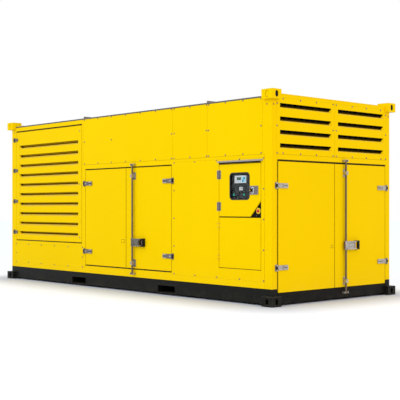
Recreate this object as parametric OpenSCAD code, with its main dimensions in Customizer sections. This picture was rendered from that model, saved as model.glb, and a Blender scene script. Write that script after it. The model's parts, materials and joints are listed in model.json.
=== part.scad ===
// Diesel generator set in a 20 ft freight-container enclosure: corner castings, steel base with fork
// pockets, acoustic wall panels, a louvred door, rod-locked double doors and a control bay.
// X runs along the enclosure, -Y is the service side, +X is the door end, Z is up from the floor.

/* [Overall] */
// Length over the corner castings
length = 6058; // [5700:1:7400]
// Width over the corner castings
width = 2438; // [2200:1:3000]
// Height over the corner castings
height = 2591; // [2400:1:3200]
// Distance of the walls behind the casting faces
skin_inset = 57; // [30:1:80]
// Thickness of the wall panels and big doors
wall_t = 60; // [40:1:80]

/* [Corner castings] */
// Casting size along the length
casting_l = 178; // [150:1:200]
// Casting size across the width
casting_w = 162; // [140:1:180]
// Casting height
casting_h = 118; // [100:1:130]
// Casting wall thickness
casting_wall = 25; // [15:1:30]
// Length of the twist-lock slot in the top or bottom face
twist_l = 124; // [100:1:130]
// Width of the twist-lock slot
twist_w = 63.5; // [50:0.5:70]
// Distance between slot centres along the length, short of the overall length
twist_margin_l = 205; // [180:1:230]
// Distance between slot centres across the width, short of the overall width
twist_margin_w = 179; // [160:1:200]
// Height of the upright oblong hole in the side faces
side_hole_l = 79; // [60:1:90]
// Width of that hole
side_hole_w = 51; // [40:1:60]

/* [Base] */
// Height of the top of the black base
base_h = 205; // [150:1:260]
// Height of the underside of the base above the floor
base_clear = 25; // [12:1:40]
// Thickness of the base side rails
base_rail_t = 90; // [60:1:120]
// Distance between the fork pocket centres
fork_spacing = 2050; // [900:1:2200]
// Width of a fork pocket
fork_w = 355; // [300:1:400]
// Height of the roof of the fork pockets above the floor
fork_top = 128; // [100:1:145]
// Plate thickness of the fork pocket tunnels
fork_plate = 8; // [5:1:12]
// Thickness of the floor plate
floor_t = 12; // [6:1:20]
// Height of the top of the end beams, under the end doors
end_beam_top = 153; // [130:1:180]

/* [Frame] */
// Width of a corner post on the short side
post_w = 75; // [60:1:100]
// Depth of the wall top below the casting tops
roof_drop = 88; // [70:1:120]
// Thickness of the roof sheets
roof_t = 18; // [8:1:25]
// Height of the roof flanges above the roof
flange_h = 27; // [10:1:40]
// Thickness of a roof flange
flange_t = 8; // [4:1:20]
// Height of the end headers above the wall top
header_rise = 35; // [10:1:50]
// Underside of the rail under the upper panels
waist_z = 1749; // [1600:1:1900]
// Height of that rail over the doors
waist_h = 71; // [50:1:100]
// Height of that rail over the wall bay
waist_thin = 37; // [20:1:49]
// Open seam between neighbouring panels
seam = 2; // [1:0.5:5]

/* [Louvre bay] */
// Width of the door jamb beside the corner post
louvre_jamb = 16; // [8:1:30]
// Width of the louvre door opening
louvre_w = 1889; // [1500:1:2000]
// Underside of the louvre door opening
louvre_z = 647; // [500:1:800]
// Height of the sill below the louvre door
louvre_sill = 53; // [30:1:80]
// Height of the wall above the louvre door
louvre_head = 75; // [50:1:120]
// Number of slots in the louvre door
slot_n = 10; // [4:1:12]
// Height of a slot at the outer face
slot_h = 58; // [25:1:65]
// Rise of a slot towards the inside, in degrees
slot_rise = 35; // [10:1:45]
// Distance from the hinge side of the door to the slots
slot_left = 92; // [60:1:180]
// Distance from the other side of the door to the slots
slot_right = 92; // [60:1:150]
// Distance from the door top to the upper edge of the first slot
slot_top = 221; // [80:1:300]
// Distance from the door bottom to the lower edge of the last slot
slot_bottom = 80; // [60:1:200]

/* [Door end] */
// Width of the jambs beside the end doors
end_jamb = 21; // [12:1:40]
// Number of slots in a louvre panel of the end wall
end_slot_n = 4; // [2:1:4]
// Distance from the sides of such a panel to its slots
end_slot_side = 66; // [50:1:120]
// Distance from the panel top to the upper edge of the first slot
end_slot_top = 71; // [60:1:120]
// Distance from the panel bottom to the lower edge of the last slot
end_slot_bottom = 71; // [60:1:150]

/* [Double doors] */
// Width of the frame post between the louvre bay and the side doors
mullion_l = 92; // [60:1:120]
// Width of the side door opening
side_door_w = 1992; // [1500:1:2100]
// Width of the frame post right of the side doors
mullion_r = 33; // [20:1:60]
// Underside of the side door opening
side_door_z = 317; // [260:1:400]
// Running gap round the doors
door_gap = 7; // [5.5:0.5:9]
// Gap between the two leaves of a pair
leaf_gap = 9; // [8:0.5:12]

/* [Wall bay] */
// Height of the bolted wall's lower edge
wall_z = 286; // [250:1:320]
// Height of the bolted panel's lower edge under the louvre door
skirt_z = 273; // [250:1:320]
// Width of the strip right of the control bay
wall_strip = 58; // [40:1:100]
// Width of the control bay opening
control_w = 738; // [600:1:800]
// Top of the control bay opening
control_top = 1725; // [1600:1:1735]
// Height of the gap between the control door and the access door
control_z = 1062; // [950:1:1150]
// Bottom of the access door opening
access_z = 421; // [350:1:600]
// Thickness of the two small doors
hatch_t = 25; // [15:1:35]
// Width of the strip right of the upper panels
upper_strip = 35; // [10:1:60]
// Width of the upper middle panel
upper_mid_w = 684; // [500:1:900]

// Height of the drip profile's foot over the control door's opening
gutter_up = 18; // [4:1:30]
// Reach of the drip profile beyond the right of that opening
gutter_over = 28; // [8:1:45]
// Overhang of the drip profile over the control door
gutter_out = 30; // [15:1:40]
// Height of the drip profile
gutter_h = 22; // [15:1:40]

/* [Door hinges] */
// Radius of a hinge barrel
barrel_r = 11; // [8:0.5:14]
// Radius of a hinge pin
pin_r = 6; // [4:0.5:8]
// Clearance round a hinge pin
pin_fit = 0.3; // [0.1:0.1:1]
// Distance of the hinge pins in front of the wall
pin_out = 16; // [14:0.5:20]
// Height of a hinge on the side and end doors
knuckle_h = 77; // [60:1:100]
// Height of a hinge on the louvre door
louvre_knuckle_h = 68; // [60:1:100]
// Height of the fixed ear at each end of a hinge
ear_h = 18; // [10:1:22]
// Running gap between an ear and the barrel of the strap
ear_gap = 1; // [0.5:0.5:2]
// Thickness of the hinge plate on the frame
plate_t = 4; // [3:0.5:6]
// Reach of that plate from the pin, away from the door
plate_l = 24; // [16:1:30]
// Thickness of a hinge strap
strap_t = 13; // [11:1:16]
// Length of the straps on the side and end doors
strap_l = 170; // [80:1:250]
// Length of the straps on the louvre door
louvre_strap_l = 44; // [30:1:45]
// Distance from the side and end hinge pins to the leaf edge
pin_side = 30; // [25:1:40]
// Distance from the louvre door's pins to its edge
louvre_pin_side = 58; // [40:1:70]
// Distance of the side hinges from the top and bottom of the opening
side_hinge_in = 211; // [100:1:400]
// Distance of the end hinges from the top and bottom of the opening
end_hinge_in = 306; // [100:1:400]
// Number of hinges on the louvre door
louvre_hinge_n = 4; // [2:1:6]
// Distance of the first and last of them from the ends of the opening
louvre_hinge_in = 131; // [80:1:200]

/* [Hatch hinges] */
// Radius of a hatch hinge barrel
hatch_barrel_r = 5.5; // [4.5:0.5:6]
// Radius of a hatch hinge pin
hatch_pin_r = 3; // [2:0.5:3.5]
// Distance of those pins in front of the wall
hatch_pin_out = 6; // [6:0.5:8]
// Thickness of the hinge leaves
hatch_leaf_t = 3; // [2:0.5:4]
// Height of the control door's hinges
control_hinge_h = 109; // [60:1:130]
// Reach of their leaves from the pin
control_reach = 34; // [20:1:50]
// Distance of those hinges from the ends of the opening
control_hinge_in = 132; // [80:1:200]
// Height of the access door's hinges
access_hinge_h = 84; // [60:1:110]
// Reach of the leaf on the wall
access_reach = 30; // [20:1:50]
// Reach of the leaf on the access door
access_stub = 12; // [10:1:30]
// Height of the lower hinge over the bottom of the opening
access_hinge_low = 134; // [80:1:200]
// Depth of the upper hinge below the top of the opening
access_hinge_high = 107; // [80:1:200]

/* [Rod locks] */
// Radius of a lock rod
rod_r = 13; // [11:0.1:22]
// Distance of a lock rod in front of the leaf
rod_out = 34; // [32:1:45]
// Distance of a lock rod from the seam between the leaves
rod_side = 185; // [120:1:260]
// Reach of the rods above the door opening
rod_over = 43; // [35:1:60]
// Reach of the rods below the door opening
rod_under = 73; // [60:1:90]
// Height of the guides' centre over the bottom of the opening
guide_low = 86; // [70:1:200]
// Depth of the upper guides' centre below the top of the opening
guide_high = 126; // [70:1:200]
// Height of a guide
guide_h = 100; // [60:1:130]
// Height of the block round the rod in a guide
guide_block_h = 44; // [20:1:60]
// Thickness of the steel round the rod in a guide
guide_wall = 7; // [4:1:10]
// Height of the lock handle's centre
handle_z = 694; // [600:1:1000]
// Thickness of the handle
handle_t = 16; // [12:1:20]
// Reach of the handle's plate from the rod on the service side
handle_plate_side = 158; // [130:1:180]
// Reach of the handle's plate from the rod on the door end
handle_plate_end = 177; // [150:1:190]
// Length of the two arms that go on from the plate
handle_arm = 28; // [10:1:36]
// Height of that plate
handle_plate_h = 106; // [80:1:110]
// Width of the rim round the plate's dished front
handle_rim = 12; // [8:1:20]
// Height of the collar that holds the handle on the rod
collar_h = 112; // [80:1:120]
// Wall of that collar
collar_wall = 8; // [5:1:10]
// Width of the staple that the arms point to
catch_w = 55; // [45:1:70]
// Height of that staple
catch_h = 114; // [100:1:140]
// Reach of a cam beyond the side of its rod
cam_reach = 7; // [5:1:12]
// Half thickness of a cam
cam_t = 10; // [6:1:14]
// Height of a cam
cam_h = 22; // [15:1:30]
// Clearance round a turning cam
cam_fit = 6; // [5:0.5:8]
// Thickness of a keeper's lugs
keeper_wall = 10; // [6:1:16]

/* [Controls] */
// Width of the window in the control door
window_w = 347; // [250:1:360]
// Height of the window in the control door
window_h = 336; // [250:1:360]
// Corner radius of the window
window_r = 48; // [20:1:60]
// Distance from the left of the bay to the window's centre
window_in = 371; // [320:1:380]
// Height of the window's centre over the bottom of the control door
window_up = 381; // [360:1:420]
// Width of the display
display_w = 203; // [150:1:220]
// Height of the display
display_h = 92; // [60:1:110]
// Width of the keypad under the display
pad_w = 69; // [40:1:90]
// Height of the keypad
pad_h = 45; // [30:1:60]
// Radius of the round buttons
button_r = 17; // [10:1:20]
// Distance between neighbouring round buttons
button_pitch = 88; // [60:1:90]
// Width of the latch plate right of the window
latch_w = 141; // [100:1:145]
// Height of the latch plate
latch_h = 107; // [60:1:110]
// Open gap between the window and the latch plate
latch_gap = 6; // [4:1:20]
// Distance of the latch knob from the left of its plate
knob_in = 32; // [24:1:60]
// Radius of the latch knob
knob_r = 18; // [12:1:22]
// Radius of the knob's stem
stem_r = 8; // [5:0.5:10]
// Clearance round the stems of the knob and the stop
stem_fit = 0.5; // [0.2:0.1:1]
// Side of the corner cut from the control door
corner_cut = 178; // [150:1:220]
// Depth of the stop's plate behind the door face
stop_recess = 20; // [12:1:22]
// Distance of the emergency stop from the right side of the bay
stop_side = 60; // [50:1:70]
// Height of the emergency stop over the bottom of the control door
stop_up = 77; // [60:1:90]
// Radius of the emergency stop's ring
stop_ring_r = 36; // [25:1:40]
// Radius of the emergency stop's mushroom head
stop_head_r = 20; // [15:1:24]
// Radius of the emergency stop's stem
stop_stem_r = 11; // [8:0.5:12]
// Travel of the emergency stop when pushed
stop_travel = 5; // [3:1:6]

/* [Hidden] */

$fn = 48;
yellow = [0.98, 0.80, 0.02];
black = [0.13, 0.15, 0.15];
steel = [0.55, 0.55, 0.56];
roof_grey = [0.50, 0.49, 0.50];

// Outer faces of the walls and the heights that everything stands on
xw = length / 2 - skin_inset;
yw = width / 2 - skin_inset;
post_l = casting_l - skin_inset;
wall_top = height - roof_drop;
roof_top = wall_top + roof_t;
header_top = wall_top + header_rise;
waist_top = waist_z + waist_h;

// Edges along the service side
x_post = -xw + post_l;
x_louvre0 = x_post + louvre_jamb;
x_louvre1 = x_louvre0 + louvre_w;
x_door0 = x_louvre1 + mullion_l;
x_door1 = x_door0 + side_door_w;
x_wall = x_door1 + mullion_r;
x_end = xw - post_l;
x_control1 = x_end - wall_strip;
x_control0 = x_control1 - control_w;
x_seam = (x_door0 + x_door1) / 2;
x_upper0 = x_louvre1 + mullion_l / 2;
x_upper1 = x_door1 + mullion_r / 2 + seam;
x_upper2 = x_upper1 + upper_mid_w;
x_upper3 = x_end - upper_strip;
louvre_z1 = wall_top - louvre_head;
skirt_top = louvre_z - louvre_sill;

// Edges across the door end
y_post = yw - post_w;
y_jamb = y_post - end_jamb;

// Clearance kept by what swings past a fixed piece
sweep = 5;
// Depth by which cutting shapes pass the faces they open
through = 1;

// Hinge pins and hinge heights
side_pin_l = x_door0 + door_gap - pin_side;
side_pin_r = x_door1 - door_gap + pin_side;
end_pin = y_jamb - door_gap + pin_side;
louvre_pin = x_louvre0 + door_gap - louvre_pin_side;
bracket_side = pin_side - 2 * sweep;
side_hinge_z = [side_door_z + side_hinge_in, waist_z - side_hinge_in];
end_hinge_z = [end_beam_top + end_hinge_in, waist_z - end_hinge_in];
louvre_hinge_pitch = (louvre_z1 - louvre_z - 2 * louvre_hinge_in) / (louvre_hinge_n - 1);
louvre_hinge_z = [for (i = [0:louvre_hinge_n - 1]) louvre_z + louvre_hinge_in + i * louvre_hinge_pitch];

// Lock rods
x_rod = x_seam + rod_side;
cam_l = rod_r + cam_reach;
side_rod_z0 = side_door_z - rod_under;
end_rod_z0 = end_beam_top - rod_under;
rod_z1 = waist_z + rod_over;
rod_gap_r = rod_r + pin_fit;
side_guide_z = [side_door_z + guide_low, waist_z - guide_high];
end_guide_z = [end_beam_top + guide_low, waist_z - guide_high];

// Hatches and controls
hatch_pin_x = x_control0 + door_gap / 2;
control_hinge_z = [control_z + control_hinge_in, control_top - control_hinge_in];
access_hinge_z = [access_z + access_hinge_low, control_z - access_hinge_high];
panel_y = -yw + hatch_t + sweep;
window_x = x_control0 + window_in;
window_z = control_z + window_up;
latch_x = window_x + (window_w + latch_w) / 2 + latch_gap;
latch_z = window_z - latch_h / 2;
knob_x = latch_x - latch_w / 2 + knob_in;
stop_x = x_control1 - stop_side;
stop_z = control_z + stop_up;
cut_h = corner_cut + 2 * door_gap;

// Thicknesses of the small plates and of the stop's ring
panel_t = 4;
latch_t = 8;
stop_ring_t = 6;

module block(a, b) {
    translate(a) cube([b[0] - a[0], b[1] - a[1], b[2] - a[2]]);
}

// A slab in the service-side wall between two corners given as [x, z]
module side_slab(a, b, t = wall_t) {
    block([a[0], -yw, a[1]], [b[0], -yw + t, b[1]]);
}

// A slab in the door-end wall between two corners given as [y, z]
module end_slab(a, b, t = wall_t) {
    block([xw - t, a[0], a[1]], [xw, b[0], b[1]]);
}

// Section of a louvre slot: depth into the wall against height, rising inwards
module slot_section(h) {
    a = -through;
    b = wall_t + through;
    rise = tan(slot_rise);
    polygon([[a, a * rise], [b, b * rise], [b, b * rise + h], [a, a * rise + h]]);
}

// Slots of a side wall from x = a to x = b, lower edges spread from z0 to z1
module side_slots(a, b, z0, z1, n) {
    for (i = [0:n - 1])
        translate([a, -yw, z0 + i * (z1 - z0) / (n - 1)])
            rotate([90, 0, 90]) linear_extrude(b - a) slot_section(slot_h);
}

// Slots of an end wall from y = a to y = b
module end_slots(a, b, z0, z1, n) {
    for (i = [0:n - 1])
        translate([xw, b, z0 + i * (z1 - z0) / (n - 1)])
            rotate([90, 0, 0]) linear_extrude(b - a) mirror([1, 0]) slot_section(slot_h);
}

// Oblong prism centred on the origin, long side along X
module oblong(l, w, h) {
    translate([-(l - w) / 2, -w / 2, -h / 2]) cube([l - w, w, h]);
    for (s = [-1, 1]) translate([s * (l - w) / 2, 0, -h / 2]) cylinder(r = w / 2, h = h);
}

// One bottom casting at the -X -Y corner, with its outer corner at the origin
module casting() {
    difference() {
        cube([casting_l, casting_w, casting_h]);
        translate([casting_wall, casting_wall, casting_wall])
            cube([casting_l - 2 * casting_wall, casting_w - 2 * casting_wall,
                casting_h - 2 * casting_wall]);
        translate([twist_margin_l / 2, twist_margin_w / 2, casting_wall / 2])
            oblong(twist_l, twist_w, casting_wall + 2);
        translate([casting_l / 2, casting_wall / 2, casting_h / 2])
            rotate([90, 90, 0]) oblong(side_hole_l, side_hole_w, casting_wall + 2);
        translate([casting_wall / 2, casting_w / 2, casting_h / 2])
            rotate([0, 90, 0]) oblong(side_hole_l, side_hole_w, casting_wall + 2);
    }
}

module four_corners() {
    for (mx = [0, 1], my = [0, 1]) mirror([mx, 0, 0]) mirror([0, my, 0]) children();
}

module castings_bottom() {
    color(black) four_corners() translate([-length / 2, -width / 2, 0]) casting();
}

module castings_top() {
    color(yellow) four_corners()
        translate([-length / 2, -width / 2, height]) mirror([0, 0, 1]) casting();
}

// Side rail with the two fork pockets cut from below, and the black post feet at its ends
module base_rail() {
    difference() {
        union() {
            block([x_post, -yw, base_clear], [x_end, -yw + base_rail_t, base_h]);
            for (m = [0, 1]) mirror([m, 0, 0]) {
                block([-xw, -yw, casting_h], [x_post, -y_post, base_h]);
                block([-xw, -yw, casting_h], [-xw + base_rail_t, -y_jamb, base_h]);
            }
        }
        for (s = [-1, 1])
            block([s * fork_spacing / 2 - fork_w / 2, -yw - 1, base_clear - 1],
                [s * fork_spacing / 2 + fork_w / 2, -yw + base_rail_t + 1, fork_top]);
    }
}

module base_rails() {
    color(black) for (m = [0, 1]) mirror([0, m, 0]) base_rail();
}

module base_beams() {
    color(black) for (m = [0, 1]) mirror([m, 0, 0])
        block([xw - base_rail_t, -width / 2 + casting_w, base_clear],
            [xw, width / 2 - casting_w, end_beam_top]);
}

// Tunnels that join the pockets of the two rails, open below
module fork_pockets() {
    y = yw - base_rail_t;
    color(black) for (s = [-1, 1]) translate([s * fork_spacing / 2, 0, 0]) {
        block([-fork_w / 2 - fork_plate, -y, fork_top],
            [fork_w / 2 + fork_plate, y, fork_top + fork_plate]);
        for (m = [0, 1]) mirror([m, 0, 0])
            block([fork_w / 2, -y, base_clear], [fork_w / 2 + fork_plate, y, fork_top]);
    }
}

module floor() {
    y = yw - base_rail_t;
    x = xw - base_rail_t;
    color("dimgray") block([-x, -y, base_h - floor_t], [x, y, base_h]);
}

// Corner posts between the castings, with the jamb strips that widen them on the service side
module corner_posts() {
    color(yellow) {
        four_corners() block([-xw, -yw, base_h], [-xw + post_l, -yw + post_w, height - casting_h]);
        for (m = [0, 1]) mirror([0, m, 0]) {
            side_slab([x_post, skirt_top], [x_louvre0, wall_top]);
            side_slab([x_upper3, waist_top], [x_end, wall_top]);
        }
    }
}

// Long sill on the base rail, stepped up under the doors and under the bolted wall
module sill() {
    side_slab([x_post, base_h], [x_end, skirt_z]);
    side_slab([x_door0, base_h], [x_end, wall_z]);
    side_slab([x_door0, base_h], [x_door1, side_door_z]);
}

// Posts left and right of the double doors
module mullions() {
    side_slab([x_louvre1 + mullion_l / 3, skirt_z], [x_door0, waist_top]);
    side_slab([x_louvre1, skirt_top], [x_door0, waist_top]);
    side_slab([x_louvre1, waist_top - 1], [x_upper0 - seam, wall_top]);
    side_slab([x_door1, wall_z], [x_wall, waist_z]);
}

// Rails under the upper panels, on the service side and across the door end
module waist_rails() {
    color(yellow) {
        side_slab([x_door0, waist_z], [x_wall, waist_top]);
        side_slab([x_wall - 1, waist_top - waist_thin], [x_end, waist_top]);
        end_slab([-y_post, waist_z], [y_post, waist_top]);
    }
}

module louvre_bay_rails() {
    side_slab([x_louvre0, louvre_z1], [x_louvre1, wall_top]);
    side_slab([x_louvre0, skirt_top], [x_louvre1, louvre_z]);
}

module skirt_panel() {
    side_slab([x_post + seam, skirt_z], [x_louvre1 + mullion_l / 3 - seam, skirt_top]);
}

module front_sill() { color(yellow) sill(); }
module front_mullions() { color(yellow) mullions(); }
module louvre_rails() { color(yellow) louvre_bay_rails(); }
module front_skirt_panel() { color(yellow) skirt_panel(); }

// Upper panels rest on the waist rail and meet the roof
module upper_panel(i) {
    edges = [x_upper0, x_upper1, x_upper2, x_upper3 + seam];
    side_slab([edges[i], waist_top], [edges[i + 1] - seam, wall_top]);
}

module front_upper_left() { color(yellow) upper_panel(0); }
module front_upper_mid() { color(yellow) upper_panel(1); }
module front_upper_right() { color(yellow) upper_panel(2); }

wall_bay_top = waist_top - waist_thin;

// Wall left of the hatches, with the fixed halves of the access door's hinges on it
module front_wall() {
    color(yellow) {
        side_slab([x_wall, wall_z], [x_control0, wall_bay_top]);
        for (z = access_hinge_z) hatch_hinge_base(z, access_hinge_h, access_reach);
    }
}

// Strips of wall over and under the two hatches
module front_wall_rails() {
    color(yellow) {
        side_slab([x_control0, control_top], [x_control1, wall_bay_top]);
        side_slab([x_control0, wall_z], [x_control1, access_z]);
    }
}

module front_wall_strip() {
    color(yellow) side_slab([x_control1, wall_z], [x_end - seam, wall_bay_top]);
}

// Drip profile over the control door, a sloping sheet with a lip
module rain_gutter() {
    lip = 4;
    color(roof_grey) translate([x_control0 - door_gap, -yw, control_top + gutter_up]) rotate([90, 0, 90])
        linear_extrude(control_w + gutter_over + door_gap)
            polygon([[0, 0], [-gutter_out, 0], [-gutter_out, lip], [-lip, gutter_h], [0, gutter_h]]);
}

// Recessed plate behind the control door's window
module control_panel() {
    color(black) block([x_control0, panel_y, control_z + panel_t],
        [x_control1, panel_y + panel_t, control_top]);
}

// A block on that plate, centred at x and z from the middle of the window
module on_panel(x, z, w, h, t) {
    block([window_x + x - w / 2, panel_y - t, window_z + z - h / 2],
        [window_x + x + w / 2, panel_y, window_z + z + h / 2]);
}

module panel_display() {
    color("whitesmoke") on_panel(-13, 86, display_w, display_h, 2);
}

module panel_buttons() {
    color("teal") {
        for (i = [-1, 0, 1]) translate([window_x - 45 + i * button_pitch, panel_y, window_z - 106])
            rotate([90, 0, 0]) cylinder(r = button_r, h = 3);
        on_panel(-1, -30, pad_w, pad_h, 3);
    }
}

// Triangular plate in the cut corner of the control door, with the stop's yellow ring
module stop_plate() {
    y = -yw + stop_recess;
    t = 3;
    difference() {
        union() {
            color(black) translate([x_control1, y + t, control_z + panel_t]) rotate([90, 0, 0])
                linear_extrude(t) polygon([[0, 0], [-corner_cut, 0], [0, cut_h]]);
            color(yellow) translate([stop_x, y, stop_z]) rotate([90, 0, 0])
                cylinder(r = stop_ring_r, h = stop_ring_t);
        }
        translate([stop_x, y + t + through, stop_z]) rotate([90, 0, 0])
            cylinder(r = stop_stem_r + stem_fit, h = t + stop_ring_t + 2 * through);
    }
}

// Mushroom head and its stem, free to be pushed in until the head nears the ring
module stop_button() {
    head_z = stop_ring_t + stop_travel + 5;
    head_t = 12;
    dome_r = 26;
    color("red") translate([stop_x, -yw + stop_recess, stop_z]) rotate([90, 0, 0]) {
        cylinder(r = stop_stem_r, h = head_z + 2);
        translate([0, 0, head_z]) rotate_extrude() intersection() {
            translate([0, head_t - dome_r]) circle(r = dome_r);
            square([stop_head_r, head_t]);
        }
    }
}

// Hinge pieces in a frame with the pin on Z, the leaf towards +X and the wall face at y = pin_out.
// The bracket: a plate on the frame that ends before the leaf, two ears and the pin through them.
module hinge_bracket(h, side) {
    for (s = [0, 1]) mirror([0, 0, s]) translate([0, 0, h / 2 - ear_h]) {
        cylinder(r = barrel_r, h = ear_h);
        translate([-barrel_r, 0, 0]) cube([2 * barrel_r, pin_out, ear_h]);
    }
    translate([-plate_l, pin_out - plate_t, -h / 2]) cube([plate_l + side, plate_t, h]);
    translate([0, 0, -h / 2]) cylinder(r = pin_r, h = h);
}

// The strap: a plate on the leaf, an arm clear of the frame and the middle of the barrel.
module hinge_strap(h, edge, reach) {
    mid = h - 2 * ear_h - 2 * ear_gap;
    plate_h = h - ear_h;
    root = 10;
    difference() {
        union() {
            translate([edge, pin_out - strap_t, -plate_h / 2]) cube([reach, strap_t, plate_h]);
            translate([0, pin_out - strap_t, -mid / 2]) cube([edge + root, strap_t - sweep, mid]);
            translate([0, 0, -mid / 2]) cylinder(r = barrel_r, h = mid);
        }
        translate([0, 0, -h / 2]) cylinder(r = pin_r + pin_fit, h = h);
    }
}

// Places hinge pieces at a pin on the service side; dir is 1 where the leaf lies towards +X
module at_side_pin(x, z, dir) {
    translate([x, -yw - pin_out, z]) mirror([dir < 0 ? 1 : 0, 0, 0]) children();
}

// Places hinge pieces at a pin on the door end; dir is 1 where the leaf lies towards +Y
module at_end_pin(y, z, dir) {
    translate([xw + pin_out, y, z]) mirror([0, dir < 0 ? 1 : 0, 0]) rotate([0, 0, 90]) children();
}

module side_hinge_brackets() {
    color(steel) {
        for (z = louvre_hinge_z)
            at_side_pin(louvre_pin, z, 1) hinge_bracket(louvre_knuckle_h, louvre_pin_side / 2);
        for (z = side_hinge_z) {
            at_side_pin(side_pin_l, z, 1) hinge_bracket(knuckle_h, bracket_side);
            at_side_pin(side_pin_r, z, -1) hinge_bracket(knuckle_h, bracket_side);
        }
        for (z = control_hinge_z) hatch_hinge_base(z, control_hinge_h, control_reach);
    }
}

module louvre_straps() {
    color(steel) for (z = louvre_hinge_z)
        at_side_pin(louvre_pin, z, 1) hinge_strap(louvre_knuckle_h, louvre_pin_side, louvre_strap_l);
}

module side_left_straps() {
    color(steel) for (z = side_hinge_z)
        at_side_pin(side_pin_l, z, 1) hinge_strap(knuckle_h, pin_side, strap_l);
}

// Louvre door: a slab with slanted slots
module louvre_door() {
    z0 = louvre_z + door_gap;
    z1 = louvre_z1 - door_gap;
    x0 = x_louvre0 + door_gap;
    x1 = x_louvre1 - door_gap;
    color(yellow) difference() {
        side_slab([x0, z0], [x1, z1]);
        side_slots(x0 + slot_left, x1 - slot_right, z0 + slot_bottom, z1 - slot_top - slot_h, slot_n);
    }
}

module side_door_left() {
    color(yellow) side_slab([x_door0 + door_gap, side_door_z + door_gap],
        [x_seam - leaf_gap / 2, waist_z - door_gap]);
}

module side_door_right() {
    color(yellow) side_slab([x_seam + leaf_gap / 2, side_door_z + door_gap],
        [x_door1 - door_gap, waist_z - door_gap]);
}

// Lock pieces in a frame with the rod on Z, the leaf face at y = rod_out and the handle towards +X.
// The guide: a plate on the leaf and a block round the rod.
module rod_guide() {
    base = [64, 6, guide_h];
    outer = rod_r + guide_wall;
    difference() {
        union() {
            translate([-outer, rod_out - base[1], -guide_h / 2]) cube(base);
            translate([-outer, -outer, -guide_block_h / 2])
                cube([2 * outer, outer + rod_out, guide_block_h]);
        }
        translate([0, 0, -guide_h / 2 - through]) cylinder(r = rod_gap_r, h = guide_h + 2 * through);
    }
}

// Staple in line with the arms of a handle whose plate reaches to plate_l: two cheeks joined by an
// end wall
module handle_catch(plate_l) {
    wall = 26;
    cheek_h = catch_h / 2 - handle_plate_h / 2 + handle_rim;
    x = plate_l + handle_arm + sweep + 2;
    for (s = [-1, 1]) translate([x, -rod_r, s * (catch_h - cheek_h) / 2 - cheek_h / 2])
        cube([catch_w, rod_out + rod_r, cheek_h]);
    translate([x + catch_w - wall, -rod_r, -catch_h / 2]) cube([wall, rod_out + rod_r, catch_h]);
}

// Rod with a cam at each end
module lock_rod(z0, z1) {
    translate([0, 0, z0]) cylinder(r = rod_r, h = z1 - z0);
    for (z = [z0, z1 - cam_h]) translate([-cam_l, -cam_t, z]) cube([2 * cam_l, 2 * cam_t, cam_h]);
}

// Dished plate with two arms at its end, on a collar that grips the rod
module lock_handle(plate_l) {
    front = -rod_r - collar_wall / 2;
    dish = 6;
    low = -handle_plate_h / 2;
    difference() {
        union() {
            translate([0, 0, -collar_h / 2]) cylinder(r = rod_r + collar_wall, h = collar_h);
            translate([0, front, low]) cube([plate_l, handle_t, handle_plate_h]);
            for (z = [low, -low - handle_rim])
                translate([0, front, z]) cube([plate_l + handle_arm, handle_t, handle_rim]);
        }
        translate([rod_r + collar_wall + handle_rim, front - through, low + handle_rim])
            cube([plate_l - rod_r - collar_wall - 2 * handle_rim, dish + through,
                handle_plate_h - 2 * handle_rim]);
        translate([0, 0, -collar_h / 2 - through]) cylinder(r = rod_r, h = collar_h + 2 * through);
    }
}

// Lugs left and right of a cam, open to the front
module keeper() {
    inner = norm([cam_l, cam_t]) + cam_fit;
    over = 2;
    for (m = [0, 1]) mirror([m, 0, 0]) translate([inner, -rod_r, -over])
        cube([keeper_wall, rod_out + rod_r, cam_h + 2 * over]);
}

module at_side_rod(z) { translate([x_rod, -yw - rod_out, z]) children(); }
module at_end_rod(z) { translate([xw + rod_out, rod_side, z]) rotate([0, 0, 90]) children(); }

module side_right_fittings() {
    color(steel) {
        for (z = side_hinge_z)
            at_side_pin(side_pin_r, z, -1) hinge_strap(knuckle_h, pin_side, strap_l);
        for (z = side_guide_z) at_side_rod(z) rod_guide();
    }
}

module side_catch() { color(black) at_side_rod(handle_z) handle_catch(handle_plate_side); }

module side_rod() { color(steel) at_side_rod(0) lock_rod(side_rod_z0, rod_z1); }
module side_handle() { color(steel) at_side_rod(handle_z) lock_handle(handle_plate_side); }

module side_keepers() {
    color(steel) for (z = [side_rod_z0, rod_z1 - cam_h]) at_side_rod(z) keeper();
}

// Control door with the window and the corner cut for the stop plate
module control_door() {
    a = [x_control0 + door_gap, control_z + door_gap];
    b = [x_control1 - door_gap, control_top - door_gap];
    color(yellow) difference() {
        side_slab(a, b, hatch_t);
        translate([b[0], -yw - through, a[1]]) rotate([-90, 0, 0]) linear_extrude(hatch_t + 2 * through)
            polygon([[1, 1], [1, -cut_h], [-corner_cut, 1]]);
        window_prism(-yw - through, hatch_t + 2 * through);
    }
}

// Rounded window outline as a prism from y inwards
module window_prism(y, depth) {
    w = window_w - 2 * window_r;
    h = window_h - 2 * window_r;
    translate([window_x, y, window_z]) rotate([-90, 0, 0]) {
        translate([-w / 2, -window_h / 2, 0]) cube([w, window_h, depth]);
        translate([-window_w / 2, -h / 2, 0]) cube([window_w, h, depth]);
        for (sx = [-1, 1], sz = [-1, 1])
            translate([sx * w / 2, sz * h / 2, 0]) cylinder(r = window_r, h = depth);
    }
}

// Glass pane at half the depth of the door
module control_glass() {
    glass_t = 4;
    color("slategray", 0.4) window_prism(-yw + (hatch_t - glass_t) / 2, glass_t);
}

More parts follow.
